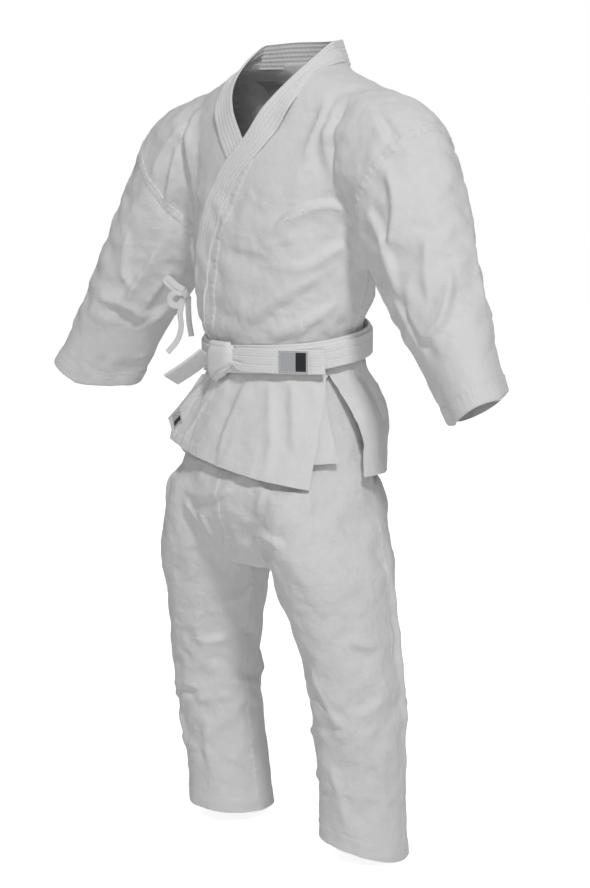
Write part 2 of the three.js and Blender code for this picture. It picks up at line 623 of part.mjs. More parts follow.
const insideBack = ([x, z], distance) => {
  const [, centre, a, b] = atStation(BODY, stationOfHeight(BODY, z));
  return new THREE.Vector3(x, centre + (b - distance) * Math.sqrt(1 - (x / a) ** 2), z);
};
const NECK_LABEL = [[-56, 1170], [4, 1170], [4, 1226], [-56, 1226]];
addSolid('neck_label',
  frontSlab(insideBack, 1.6, 2.4, NECK_LABEL, spread(-62, 10, 4), spread(1160, 1236, 3)), LABEL);

// ---- trousers -----------------------------------------------------------------------------------------

const LEG_TURNS = 18;
const SEAT_TURNS = 22;
const legLoft = (side, distance, span = {}) => loft(legSurface(side), distance, LEG_TURNS, 8, span);
const seatLoft = (distance, span = {}) => loft(seatSurface, distance, SEAT_TURNS, 8, span);
const bothLegs = (distance, span) => legLoft(1, distance, span).add(legLoft(-1, distance, span));
const crotchInside = stationOfHeight(SEAT, SEAT[0][0] + CLOTH);
const trousers = seatLoft(0).add(bothLegs(0))
  .subtract(seatLoft(-CLOTH, { from: crotchInside, after: 8 }))
  .subtract(bothLegs(-CLOTH, { before: 8 }));

const hipDrum = (extra) => cylinderAcross(HIP.radius + extra, 0, HIP.y, HIP.z, true);
const aboveHip = sidePrism([[-400, HIP.z], [400, HIP.z], [400, 900], [-400, 900]]);
const seat = trousers.intersect(hipDrum(0).add(aboveHip));
const legs = trousers.subtract(hipDrum(GAP).add(aboveHip));
const trouserFront = (shift) => sidePrism([
  [-600, -50], [21 + shift, -50], [13 + shift, 100], [-11 + shift, 300], [-28 + shift, 470],
  [-28 + shift, 620], [-2 + shift, 800], [-2 + shift, 950], [-600, 950],
]);
const frontSide = trouserFront(-GAP / 2);
const GUSSET = [[0, 410], [46, 470], [0, 528], [-46, 470]];
const gussetRoom = frontPrism(GUSSET);
const gussetOpening = frontPrism(GUSSET.map(([x, z]) => [x * 1.012, (z - 469) * 1.01 + 469]));
addSolid('crotch_gusset', seat.intersect(gussetRoom), COTTON_SHADE);
addSolid('seat_front', seat.intersect(frontSide).subtract(gussetOpening), COTTON);
addSolid('seat_back', seat.subtract(trouserFront(GAP / 2)).subtract(gussetOpening), COTTON);

const WAISTBAND_LOW = stationOfHeight(SEAT, 800);
addMesh('trouser_waistband', ringBand(seatSurface, GAP, GAP + CLOTH, SEAT_TURNS, 1, WAISTBAND_LOW, 1), COTTON);

const HEM_TOP = 0.031;
for (const side of [1, -1]) {
  const word = side > 0 ? 'left' : 'right';
  const leg = legs.intersect(halfSpace(side, 5));
  addSolid(`${word}_leg_front`, leg.intersect(frontSide), COTTON);
  addSolid(`${word}_leg_back`, leg.subtract(trouserFront(GAP / 2)), COTTON_SHADE);
  const hem = ringBand(legSurface(side), GAP, GAP + CLOTH, LEG_TURNS, 1, 0, HEM_TOP);
  addMesh(`${word}_hem_band`, hem, COTTON);
}

uniform.updateMatrixWorld(true);

export default uniform;
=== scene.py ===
"""Martial arts uniform: white cotton jacket, belt and trousers, dressed over the CAD frame.

Lengths are millimetres and heights count up from the trouser hems until a mesh is made; the
wearer faces -Y and the wearer's left is +X.
"""
import math

import bpy
import numpy as np
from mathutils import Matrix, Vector
from mathutils.bvhtree import BVHTree


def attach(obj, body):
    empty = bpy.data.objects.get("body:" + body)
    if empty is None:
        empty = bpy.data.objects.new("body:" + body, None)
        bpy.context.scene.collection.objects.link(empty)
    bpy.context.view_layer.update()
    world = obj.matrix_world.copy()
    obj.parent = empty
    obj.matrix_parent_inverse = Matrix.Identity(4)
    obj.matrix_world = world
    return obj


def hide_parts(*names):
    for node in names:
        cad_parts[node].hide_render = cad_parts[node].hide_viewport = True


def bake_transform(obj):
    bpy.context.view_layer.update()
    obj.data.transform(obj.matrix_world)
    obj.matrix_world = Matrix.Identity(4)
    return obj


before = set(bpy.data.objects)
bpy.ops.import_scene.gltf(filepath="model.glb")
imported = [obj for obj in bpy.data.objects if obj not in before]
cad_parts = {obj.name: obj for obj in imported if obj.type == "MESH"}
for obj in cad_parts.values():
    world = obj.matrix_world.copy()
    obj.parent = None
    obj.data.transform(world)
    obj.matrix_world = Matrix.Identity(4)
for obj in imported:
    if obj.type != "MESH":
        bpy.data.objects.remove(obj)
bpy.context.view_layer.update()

# ---- driving dimensions ---------------------------------------------------------------------

SHOULDER_HEIGHT = 1215.0
CLOTH = 1.5
LEFT_LAYER = 4.8
SEAM_Y = 8.0
WAIST_TILT = 0.2
TILT_CENTRE_Y = -20.0
TILT_FADE = (560.0, 690.0, 880.0, 1060.0)

# Body sections of the jacket's inner face: height, centre Y, half width, half depth.
BODY = np.array([
    [560, -20, 198, 146], [600, -20, 194, 141], [650, -17, 186, 134], [700, -12, 173, 124],
    [740, -7, 159, 113], [780, -3, 144, 102], [805, -2, 139, 97], [840, -2, 140, 98],
    [875, -3, 155, 107], [950, -4, 173, 112], [1040, 0, 188, 113], [1110, 6, 197, 106],
    [1160, 10, 197, 97], [1190, 12, 194, 91], [1212, 15, 183, 86], [1229, 17, 154, 81],
    [1243, 18, 118, 77], [1254, 19, 88, 74],
], float)
SEAT = np.array([
    [470, -24, 130, 74], [500, -28, 168, 92], [530, -31, 187, 106], [560, -31, 188, 120],
    [600, -28, 181, 127], [650, -21, 173, 122], [700, -15, 159, 112], [740, -9, 147, 103],
    [780, -3, 135, 94], [805, -2, 131, 90], [835, -2, 130, 89],
], float)
# Leg sections: height, distance from the middle, centre Y, half width, half depth.
LEG = np.array([
    [0, 155, 21, 69, 71], [100, 158, 13, 67, 68], [200, 162, 1, 69, 70], [300, 160, -11, 72, 75],
    [400, 144, -23, 78, 88], [470, 131, -29, 86, 102], [520, 114, -30, 88, 112],
    [560, 102, -30, 85, 119], [600, 95, -28, 78, 120],
], float)
# Sleeve sections: X, Y, Z, axis angle below level, half size in the arm plane, across it, twist.
SLEEVE = np.array([
    [130, 12, 1130, 0, 98, 82, 0], [225, 8, 1098, 28, 101, 85, 0],
    [268, -2, 1022, 55, 98, 80, 6], [320, -16, 930, 63, 84, 71, 22],
    [377, -28, 838, 60, 74, 58, 36], [430, -38, 752, 57, 72, 46, 45],
], float)
SLEEVE_SEAM = 0.27

LAPEL_FREE = [(-118, 770), (-118, 805), (-116, 828), (-108, 892), (-92, 971), (-64, 1043),
              (-31, 1104), (6, 1145)]
LAPEL_SEWN = [(-76, 770), (-76, 805), (-74, 828), (-66, 885), (-51, 959), (-24, 1026),
              (4, 1079), (38, 1119)]
UNDER_LAPEL_REACH = 0.78
NECK_FREE = [(34, -86, 1190), (60, -58, 1230), (74, -14, 1268), (74, 26, 1294),
             (52, 70, 1300), (0, 90, 1300)]
NECK_SEWN = [(64, -88, 1153), (84, -76, 1193), (90, -36, 1233), (88, 24, 1257),
             (62, 79, 1259), (0, 102, 1260)]
PUCKER_SEAM = [(-88, 600), (-85, 730), (-75, 790), (-60, 830), (-42, 924), (-29, 988), (26, 1106)]
FRONT_FLAP_TOP = [(-230, 716), (-150, 738), (-100, 753), (0, 765), (100, 753), (150, 738),
                  (230, 716)]
BACK_FLAP_TOP = 751.0

# Start and end points across each joint.
SLEEVE_JOINT = np.array([(254.0, 5, 1059), (346, -5, 967)])
LEG_JOINT = np.array([(62.0, -30, 460), (148, -30, 370)])
FRONT_HINGE = (0, -110, 764), (0, -110, 704)
BACK_HINGE = (0, 60, 762), (0, 60, 700)

BELT_HEIGHT = 818.0
BELT_WIDTH = 38.0
BELT_THICK = 3.2
BELT_CLEAR = 11.6

STITCH = 2.6
STITCH_RADIUS = 0.45
STITCH_PITCH = 4.4
LAPEL_THICK = 2.4
LAPEL_ROWS = 6
LAPEL_STANDOFF = {1: 6.8, -1: 2.0}  # the left front crosses over the right
BELT_STITCHING = (9, 5.6, 0.9, 5.6)  # rows, pucker pitch, groove depth, stitch pitch
LABEL_THICK = 0.6
BAR_THICK, BAR_RISE = 0.2, 0.12

CAMERA_LENS = 80.7
CAMERA_PLACE = (2.2718, -2.2536, -0.135)
CAMERA_TARGET = (0.0091, 0.0091, -0.560)
FLOOR_LEVEL = -1.2155
FLOOR_REACH = 12.0

# ---- small maths ----------------------------------------------------------------------------


def smooth(t):
    k = np.clip(t, 0.0, 1.0)
    return k * k * (3.0 - 2.0 * k)


def tilt_fade(z):
    low0, low1, high0, high1 = TILT_FADE
    return smooth((z - low0) / (low1 - low0)) * smooth((high1 - z) / (high1 - high0))


def tilt(points):
    """The waist line falls towards the front."""
    moved = points.copy()
    drop = WAIST_TILT * (points[..., 1] - TILT_CENTRE_Y)
    moved[..., 2] += drop * tilt_fade(points[..., 2])
    return moved


def hermite(f, start, end, start_slope, end_slope):
    f2, f3 = f * f, f * f * f
    return ((2*f3 - 3*f2 + 1) * start + (f3 - 2*f2 + f) * start_slope
            + (3*f2 - 2*f3) * end + (f3 - f2) * end_slope)


def at_station(table, t):
    """Rows of a table at t from 0 to 1, on one smooth curve through its rows."""
    last = len(table) - 1
    s = np.clip(np.asarray(t, float) * last, 0, last - 1e-6)
    i = np.floor(s).astype(int)
    f = (s - i)[..., None]
    a, b, c, d = (table[np.clip(i + k, 0, last)] for k in (-1, 0, 1, 2))
    return hermite(f, b, c, (c - a) / 2, (d - b) / 2)


def station_of(table, z):
    t = np.linspace(0, 1, 1200)
    return np.interp(z, at_station(table, t)[:, 0], t)


def ring_points(table, turn, v):
    row = at_station(table, v)
    across = row[..., 2] * np.sin(turn)
    deep = row[..., 1] - row[..., 3] * np.cos(turn)
    return tilt(np.stack([across, deep, row[..., 0] + 0 * turn], -1))


def oval(across, half_width, least=0.02):
    """Depth of an oval of half depth 1 at a distance across it."""
    return np.sqrt(np.maximum(least, 1 - (across / half_width) ** 2))


def leg_points(side, turn, v):
    row = at_station(LEG, v)
    across = side * row[..., 1] + row[..., 3] * np.sin(turn)
    deep = row[..., 2] - row[..., 4] * np.cos(turn)
    return np.stack([across, deep, row[..., 0] + 0 * turn], -1)


def sleeve_points(side, turn, v):
    row = at_station(SLEEVE, v)
    slope, roll = np.radians(row[..., 3]), np.radians(row[..., 6])
    zero = np.zeros_like(slope)
    outward = np.stack([np.sin(slope), zero, np.cos(slope)], -1)
    back = np.stack([zero, zero + 1, zero], -1)
    cos_roll, sin_roll = np.cos(roll)[..., None], np.sin(roll)[..., None]
    major = outward * cos_roll - back * sin_roll
    minor = outward * sin_roll + back * cos_roll
    p = row[..., :3] + major * (row[..., 4] * np.cos(turn))[..., None]
    return (p + minor * (row[..., 5] * np.sin(turn))[..., None]) * [side, 1, 1]


def arm_station(side, points):
    """Where along the sleeve (0 to 1) the section plane through each point lies."""
    row = at_station(SLEEVE, np.linspace(0, 1, 161))
    slope = np.radians(row[:, 3])
    along = np.stack([np.cos(slope), 0 * slope, -np.sin(slope)], -1)
    ahead = (points * [side, 1, 1]) @ along.T - (row[:, :3] * along).sum(1)
    passed = (ahead > 0).sum(1).clip(1, 160)
    pick = np.arange(len(points))
    before, after = ahead[pick, passed - 1], ahead[pick, passed]
    return (passed - 1 + np.clip(before / (before - after + 1e-9), 0, 1.5)) / 160


def unit(vectors):
    return vectors / (np.linalg.norm(vectors, axis=-1, keepdims=True) + 1e-9)


def distance_along(path):
    """How far along a path each of its points is."""
    return np.r_[0, np.cumsum(np.linalg.norm(np.diff(path, axis=0), axis=1))]


def path_at(wanted, known, path):
    """A path's points at wanted values of a measure that is known at each of its points."""
    return np.stack([np.interp(wanted, known, column) for column in path.T], 1)


def crossed_grid(rows, columns):
    """Two values over a grid: one changes from row to row, the other along each row."""
    return np.meshgrid(rows, columns, indexing="ij")


def curve_through(points, count):
    """Centripetal Catmull-Rom curve, with the same number of samples in each span."""
    p = np.asarray(points, float)
    p = np.concatenate([[2*p[0] - p[1]], p, [2*p[-1] - p[-2]]])
    spans = len(p) - 3
    s = np.linspace(0, spans, count)
    i = np.minimum(s.astype(int), spans - 1)
    t = (s - i)[:, None]
    a, b, c, d = p[i], p[i + 1], p[i + 2], p[i + 3]
    ab, bc, cd = (np.sqrt(np.linalg.norm(v - u, axis=1))[:, None] + 1e-9
                  for u, v in ((a, b), (b, c), (c, d)))
    m1 = ((b - a) / ab - (c - a) / (ab + bc) + (c - b) / bc) * bc
    m2 = ((c - b) / bc - (d - b) / (bc + cd) + (d - c) / cd) * bc
    return hermite(t, b, c, m1, m2)


def lattice_noise(points, scale, seed):
    """Smooth random values from -1 to 1, the same on every run."""
    q = np.asarray(points) / scale
    cell = np.floor(q).astype(np.int64)
    f = q - cell
    f = f * f * f * (f * (f * 6 - 15) + 10)
    total = np.zeros(len(q))
    for corner in range(8):
        step = np.array([corner & 1, corner >> 1 & 1, corner >> 2 & 1])
        k = cell + step
        mix = (k[:, 0] * 374761393 + k[:, 1] * 668265263 + k[:, 2] * 2147483647 + seed * 974711)
        mix = (mix ^ (mix >> 13)) * 1274126177
        value = ((mix ^ (mix >> 16)) & 0xFFFF) / 32767.5 - 1
        total += value * np.prod(np.where(step, f, 1 - f), axis=1)
    return total


# ---- meshes as arrays -----------------------------------------------------------------------


def grid_faces(rows, columns, wrap=False):
    index = np.arange(rows * columns).reshape(rows, columns)
    if wrap:
        index = np.concatenate([index, index[:, :1]], 1)
    a, b, c, d = index[:-1, :-1], index[:-1, 1:], index[1:, 1:], index[1:, :-1]
    return np.stack([a, b, c, d], -1).reshape(-1, 4)


def vertex_normals(points, faces):
    corners = faces.shape[1]
    first = points[faces[:, 2]] - points[faces[:, 0]]
    second = points[faces[:, corners - 1]] - points[faces[:, 1]]
    area = np.cross(first, second)
    total = np.zeros_like(points)
    for k in range(corners):
        for axis in range(3):
            total[:, axis] += np.bincount(faces[:, k], area[:, axis], len(points))
    return unit(total)


def triangles_of(quads):
    return np.concatenate([quads[:, [0, 1, 2]], quads[:, [0, 2, 3]]])


def clip(rows, triangles, keep):
    """The part of a triangle mesh where keep is above 0. rows holds every value of a vertex."""
    inside = keep > 0
    count = inside[triangles].sum(1)
    whole = triangles[count == 3]
    mixed = triangles[(count == 1) | (count == 2)]
    lone_inside = inside[mixed].sum(1) == 1
    lone = (inside[mixed] == lone_inside[:, None]).argmax(1)
    pick = np.arange(len(mixed))
    a, b, c = (mixed[pick, (lone + k) % 3] for k in range(3))
    pairs = np.sort(np.concatenate([np.stack([a, b], 1), np.stack([a, c], 1)]), 1)
    unique, where = np.unique(pairs, axis=0, return_inverse=True)
    where = where.reshape(-1)
    share = keep[unique[:, 0]] / (keep[unique[:, 0]] - keep[unique[:, 1]])
    cut = rows[unique[:, 0]] + (rows[unique[:, 1]] - rows[unique[:, 0]]) * share[:, None]
    ab, ac = where[:len(mixed)] + len(rows), where[len(mixed):] + len(rows)
    tip = np.stack([a, ab, ac], 1)[lone_inside]
    rest = ~lone_inside
    quad = np.stack([ab, b, c, ac], 1)[rest]
    faces = np.concatenate([whole, tip, quad[:, [0, 1, 2]], quad[:, [0, 2, 3]]])
    every = np.concatenate([rows, cut])
    used = np.unique(faces)
    new = np.zeros(len(every), int)
    new[used] = np.arange(len(used))
    return every[used], new[faces]


def edges_of(faces):
    corners = faces.shape[1]
    return np.concatenate([faces[:, [k, (k + 1) % corners]] for k in range(corners)])


def distinct_edges(faces):
    return np.unique(np.sort(edges_of(faces), 1), axis=0)


def solid_of(points, normals, faces, thick):
    """A closed sheet: the outer face, an inner face thick below it, and a rim."""
    points, normals = points.reshape(-1, 3), normals.reshape(-1, 3)
    n = len(points)
    inner = faces[:, ::-1] + n
    edges = edges_of(faces)
    key = np.sort(edges, 1)
    order = key[:, 0].astype(np.int64) * n + key[:, 1]
    _, first, uses = np.unique(order, return_index=True, return_counts=True)
    rim = edges[first[uses == 1]]
    sides = np.stack([rim[:, 1], rim[:, 0], rim[:, 0] + n, rim[:, 1] + n], 1)
    every = np.concatenate([points, points - normals * thick])
    return every, [faces, inner, sides]


def add_object(name, parts, materials):
    """parts is a list of (points, list of face arrays, material index)."""
    points, faces, slots, start = [], [], [], 0
    for part_points, part_faces, slot in parts:
        points.append(part_points)
        for group in part_faces:
            faces.extend((group + start).tolist())
            slots.extend([slot] * len(group))
        start += len(part_points)
    place = (np.concatenate(points) - [0, 0, SHOULDER_HEIGHT]) / 1000
    mesh = bpy.data.meshes.new(name)
    mesh.from_pydata(place.tolist(), [], faces)
    for material in materials:
        mesh.materials.append(material)
    mesh.polygons.foreach_set("material_index", slots)
    mesh.polygons.foreach_set("use_smooth", [True] * len(faces))
    mesh.update()
    obj = bpy.data.objects.new(name, mesh)
    bpy.context.scene.collection.objects.link(obj)
    return obj


def modified(points, faces, kind, **settings):
    """The points and quads that one Blender modifier makes of a mesh."""
    mesh = bpy.data.meshes.new("work")
    mesh.from_pydata((points / 1000).tolist(), [], [tuple(f) for f in faces])
    obj = bpy.data.objects.new("work", mesh)
    bpy.context.scene.collection.objects.link(obj)
    modifier = obj.modifiers.new("work", kind)
    for key, value in settings.items():
        setattr(modifier, key, value)
    depsgraph = bpy.context.evaluated_depsgraph_get()
    made = obj.evaluated_get(depsgraph).to_mesh()
    co = np.zeros(len(made.vertices) * 3)
    made.vertices.foreach_get("co", co)
    quads = np.zeros(len(made.polygons) * 4, int)
    made.polygons.foreach_get("vertices", quads)
    bpy.data.objects.remove(obj)
    bpy.data.meshes.remove(mesh)
    return co.reshape(-1, 3) * 1000, quads.reshape(-1, 4)


def loft_solid(points):
    rows, turns = points.shape[:2]
    faces = grid_faces(rows, turns, wrap=True).tolist()
    index = np.arange(rows * turns).reshape(rows, turns)
    return points.reshape(-1, 3), faces + [index[0][::-1].tolist(), index[-1].tolist()]


def merged(solids, voxel):
    """One skin round several overlapping solids."""
    points, faces, start = [], [], 0
    for p, f in solids:
        points.append(p)
        faces += [[i + start for i in face] for face in f]
        start += len(p)
    return modified(np.concatenate(points), faces, "REMESH", mode="VOXEL", voxel_size=voxel / 1000)


# ---- cloth relaxation -----------------------------------------------------------------------


def across_edges(quads, count):
    """Pairs of vertices two steps apart, on both sides of each edge."""
    keys, ends = [], []
    for i in range(4):
        a, b, c, d = (quads[:, (i + j) % 4] for j in range(4))
        keys.append(np.minimum(a, b).astype(np.int64) * count + np.maximum(a, b))
        ends.append(np.stack([a, b, d, c], 1))
    keys, ends = np.concatenate(keys), np.concatenate(ends)
    order = np.argsort(keys, kind="stable")
    keys, ends = keys[order], ends[order]
    same = np.nonzero(keys[1:] == keys[:-1])[0]
    one, two = ends[same], ends[same + 1]
    two = np.where((one[:, 0] != two[:, 0])[:, None], two[:, [1, 0, 3, 2]], two)
    pairs = np.concatenate([one[:, [2]], one[:, [3]]]), np.concatenate([two[:, [2]], two[:, [3]]])
    return np.unique(np.sort(np.concatenate(pairs, 1), 1), axis=0)


def drape(rest, start, quads, slack, hold, reach, rounds, bend):
    """Cloth cut slack times larger than rest, let go from start and held loosely near it."""
    n = len(rest)
    links = [distinct_edges(quads), np.concatenate([quads[:, [0, 2]], quads[:, [1, 3]]]),
             across_edges(quads, n)]
    stiff = np.concatenate([np.full(len(l), k) for l, k in zip(links, (1.0, 0.5, bend))])
    links = np.concatenate(links)
    i, j = links.T
    length = np.linalg.norm(rest[i] - rest[j], axis=1) * (slack[i] + slack[j]) / 2
    share = (0.8 / (np.bincount(i, stiff, n) + np.bincount(j, stiff, n)))[:, None]
    normals = vertex_normals(rest, quads)
    x, speed = start.copy(), np.zeros_like(start)
    for _ in range(rounds):
        gap = x[j] - x[i]
        now = np.linalg.norm(gap, axis=1) + 1e-9
        pull = (stiff * (now - length) / now * 0.5)[:, None] * gap
        move = np.stack([np.bincount(i, pull[:, q], n) - np.bincount(j, pull[:, q], n)
                         for q in range(3)], 1)
        speed = speed * 0.85 + move * share
        x = x + speed
        x += (start - x) * hold[:, None]
        out = ((x - rest) * normals).sum(1)
        x += normals * (np.clip(out, reach[0], reach[1]) - out)[:, None]
    return x


def fold_height(points, normals, lines):
    """Height of listed folds: (path, half width, height, lean) each, path on the surface."""
    total = np.zeros(len(points))
    for path, width, height, lean in lines:
        path = np.asarray(path, float)
        low, high = path.min(0) - 3.5 * width, path.max(0) + 3.5 * width
        near = np.nonzero(((points > low) & (points < high)).all(1))[0]
        if not len(near):
            continue
        p = points[near]
        gap = np.linalg.norm(p[:, None] - path[None], axis=2)
        i = gap.argmin(1)
        j = np.clip(i, 1, len(path) - 2)
        along = unit(path[j + 1] - path[j - 1])
        side = np.cross(along, normals[near])
        x = ((p - path[i]) * side).sum(1) / width
        over = np.maximum(np.abs(((p - path[i]) * along).sum(1)) - 3, 0) / width
        t = i / (len(path) - 1)
        taper = smooth(np.minimum(t, 1 - t) * 3.2 + 0.05)
        crest = np.exp(-np.sqrt(x * x + 0.09) * 1.6 + 0.48)
        hollow = np.exp(-((x - 1.5 * lean) / 1.1) ** 2)
        total[near] += height * taper * np.exp(-over * over) * (crest - 0.55 * abs(lean) * hollow)
    return total


# ---- materials ------------------------------------------------------------------------------


WAVE_SCALE = 0.314  # a wave texture of this scale has bands one unit apart


def cotton(name, colour, thread=0.0009, crumple=0.35, shade=0.03):
    """Woven cotton: a twill bump at thread pitch, soft crumples and slight colour drift."""
    material = bpy.data.materials.new(name)
    material.use_nodes = True
    nodes, links = material.node_tree.nodes, material.node_tree.links
    shader = nodes["Principled BSDF"]
    shader.inputs["Roughness"].default_value = 0.88
    shader.inputs["Specular IOR Level"].default_value = 0.25
    shader.inputs["Sheen Weight"].default_value = 0.12
    shader.inputs["Sheen Roughness"].default_value = 0.5
    place = nodes.new("ShaderNodeTexCoord").outputs["Object"]

    def noise(scale, detail, rough=0.55):
        node = nodes.new("ShaderNodeTexNoise")
        node.inputs["Scale"].default_value = scale
        node.inputs["Detail"].default_value = detail
        node.inputs["Roughness"].default_value = rough
        links.new(place, node.inputs["Vector"])
        return node.outputs["Fac"]

    def threads(direction):
        node = nodes.new("ShaderNodeTexWave")
        node.bands_direction = direction
        node.inputs["Scale"].default_value = WAVE_SCALE / thread
        node.inputs["Distortion"].default_value = 1.2
        node.inputs["Detail"].default_value = 1.0
        node.inputs["Detail Scale"].default_value = 0.4
        links.new(place, node.inputs["Vector"])
        return node.outputs["Fac"]

    def maths(kind, one, two):
        node = nodes.new("ShaderNodeMath")
        node.operation = kind
        for socket, value in zip(node.inputs, (one, two)):
            if isinstance(value, float):
                socket.default_value = value
            else:
                links.new(value, socket)
        return node.outputs["Value"]

    def bump(height, strength, distance, below=None):
        node = nodes.new("ShaderNodeBump")
        node.inputs["Strength"].default_value = strength
        node.inputs["Distance"].default_value = distance
        links.new(height, node.inputs["Height"])
        if below:
            links.new(below, node.inputs["Normal"])
        return node.outputs["Normal"]

    weave = maths("MAXIMUM", threads("DIAGONAL"), maths("MULTIPLY", threads("Z"), 0.8))
    creases = bump(noise(26.0, 5.0, 0.6), crumple, 0.006)
    surface = bump(weave, 0.5, 0.00012, creases)
    links.new(surface, shader.inputs["Normal"])
    drift = nodes.new("ShaderNodeMapRange")
    drift.inputs["To Min"].default_value = 1.0 - shade
    drift.inputs["To Max"].default_value = 1.0 + shade * 0.5
    mixed = maths("ADD", maths("MULTIPLY", noise(5.0, 3.0), 0.6),
                  maths("MULTIPLY", noise(420.0, 2.0), 0.4))
    links.new(mixed, drift.inputs["Value"])
    tint = nodes.new("ShaderNodeVectorMath")
    tint.operation = "SCALE"
    tint.inputs[0].default_value = colour
    links.new(drift.outputs["Result"], tint.inputs["Scale"])
    links.new(tint.outputs["Vector"], shader.inputs["Base Color"])
    rough = nodes.new("ShaderNodeMapRange")
    rough.inputs["To Min"].default_value = 0.8
    rough.inputs["To Max"].default_value = 0.96
    links.new(weave, rough.inputs["Value"])
    links.new(rough.outputs["Result"], shader.inputs["Roughness"])
    return material


JACKET = cotton("jacket_cotton", (0.72, 0.72, 0.725), crumple=0.55)
TROUSER = cotton("trouser_cotton", (0.71, 0.71, 0.715), crumple=0.8)
BAND = cotton("stitched_band", (0.77, 0.77, 0.775), crumple=0.12)
WEBBING = cotton("belt_webbing", (0.77, 0.77, 0.775), thread=0.0011, crumple=0.1)
TAPE = cotton("tape", (0.76, 0.76, 0.765), thread=0.0007, crumple=0.1)
LABEL = cotton("label", (0.42, 0.43, 0.45), thread=0.0004, crumple=0.05)
LABEL_BAR = cotton("label_bar", (0.03, 0.03, 0.035), thread=0.0004, crumple=0.05)
LABEL_PALE = cotton("label_pale", (0.68, 0.68, 0.69), thread=0.0004, crumple=0.05)
THREAD = cotton("thread", (0.82, 0.82, 0.82), thread=0.0003, crumple=0.0)

# Kind of piece: its materials (cloth, stitches, bars) and its material slot.
KINDS = {
    "jacket": ([JACKET, THREAD], "jacket_cotton"),
    "trousers": ([TROUSER, THREAD], "trouser_cotton"),
    "band": ([BAND, THREAD], "stitched_band"),
    "belt": ([WEBBING, THREAD], "belt_webbing"),
    "tape": ([TAPE, THREAD], "tape"),
    "label": ([LABEL, THREAD, LABEL_BAR], "label"),
    "pale label": ([LABEL_PALE, THREAD], "label"),
}

# ---- cloth shells ---------------------------------------------------------------------------


class Shell:
    """A draped skin: rest points, draped points, and what carries other parts along with it."""

    def __init__(self, rest, shape, quads):
        self.rest, self.shape = rest, shape
        self.normals = vertex_normals(shape, quads)
        self.triangles = triangles_of(quads)
        self.tree = BVHTree.FromPolygons(rest.tolist(), self.triangles.tolist())

    def nearest(self, points):
        """Each point's triangle corners, their shares and its distance from the rest skin."""
        found = [self.tree.find_nearest(p) for p in points.tolist()]
        place = np.array([f[0] for f in found])
        corner = self.triangles[[f[2] for f in found]]
        a, b, c = (self.rest[corner[:, k]] for k in range(3))
        whole = np.cross(b - a, c - a)
        size = (whole * whole).sum(1) + 1e-12
        u = (np.cross(b - place, c - place) * whole).sum(1) / size
        v = (np.cross(c - place, a - place) * whole).sum(1) / size
        return corner, np.stack([u, v, 1 - u - v], 1), np.array([f[3] for f in found])

    def carry(self, points, limit=40.0):
        """Points placed round the rest skin, moved as the skin beside them was."""
        flat = points.reshape(-1, 3)
        corner, share, gap = self.nearest(flat)
        moved = self.shape - self.rest
        push = (moved[corner] * share[:, :, None]).sum(1)
        push *= smooth((limit - gap) / (limit * 0.5))[:, None]
        return (flat + push).reshape(points.shape)


def surface_distance(points_grid, points):
    """How far points lie from a closed lofted surface."""
    faces = grid_faces(*points_grid.shape[:2], wrap=True)
    tree = BVHTree.FromPolygons(points_grid.reshape(-1, 3).tolist(), faces.tolist())
    return np.array([tree.find_nearest(p)[3] for p in points.tolist()])


def without(points, quads, outside):
    """A mesh with every face that touches an outside point taken away."""
    quads = quads[~outside[quads].any(1)]
    used = np.unique(quads)
    new = np.zeros(len(points), int)
    new[used] = np.arange(len(used))
    return points[used], new[quads]


def polished(points, quads, rounds):
    """Takes the voxel steps out of a skin without shrinking it."""
    i, j = distinct_edges(quads).T
    count = np.bincount(i, minlength=len(points)) + np.bincount(j, minlength=len(points))
    loose = (count > 3)[:, None]
    for step in [0.5, -0.52] * rounds:
        total = np.stack([np.bincount(i, points[j, q], len(points))
                          + np.bincount(j, points[i, q], len(points)) for q in range(3)], 1)
        points = points + step * (total / count[:, None] - points) * loose
    return points


VOXEL = 12.0
ROUNDS = 260
TURNS = np.linspace(0, 2 * math.pi, 120, endpoint=False)


def body_grid():
    u, v = np.meshgrid(TURNS, station_of(BODY, np.linspace(BODY[0, 0], BODY[-1, 0], 110)))
    points = ring_points(BODY, u, v)
    return np.concatenate([points[:1] - [0, 0, 30], points, points[-1:] + [0, 0, 34]])


def sleeve_grid(side):
    u, v = np.meshgrid(TURNS[::2] * side, np.linspace(0, 1, 90))
    points = sleeve_points(side, u, v)
    along = unit(points[-1].mean(0) - points[-4].mean(0))
    return np.concatenate([points, (points[-1] + along * 40)[None]])


CUFF_SLOPE = math.radians(SLEEVE[-1, 3])
CUFF_AXIS = np.array([math.cos(CUFF_SLOPE), 0, -math.sin(CUFF_SLOPE)])


def before_cuff(side, points):
    """Distance back from the plane of the sleeve's open end."""
    return -((points * [side, 1, 1] - SLEEVE[-1, :3]) @ CUFF_AXIS)


CUFF_DIP = 17.0


def cuff_edge(side, points):
    """Above 0 inside the sleeve's end, which dips at the front of the opening."""
    flat = points * [side, 1, 1]
    forward = (flat - SLEEVE[-1, :3]) @ unit(np.array([0.45, -0.75, -0.1]))
    return before_cuff(side, points) + CUFF_DIP * np.clip(forward / 46, -0.6, 1)


def path_on(surface, stops):
    """A dense path through (turn in degrees, station) stops on a surface."""
    stops = np.asarray(stops, float)
    count = 14 * (len(stops) - 1) + 1
    where = curve_through(np.c_[stops, 0 * stops[:, 0]], count)[:, :2]
    return surface(np.radians(where[:, 0]), where[:, 1])


def on_body(turn, z):
    return ring_points(BODY, turn, station_of(BODY, z))


def on_seat(turn, z):
    return ring_points(SEAT, turn, station_of(SEAT, z))


def upright(surface, turn, low, high):
    """A path straight up a surface."""
    return np.stack([surface(turn, height) for height in np.arange(low, high, 8.0)])


def on_leg(side):
    return lambda turn, z: leg_points(side, turn, station_of(LEG, z))


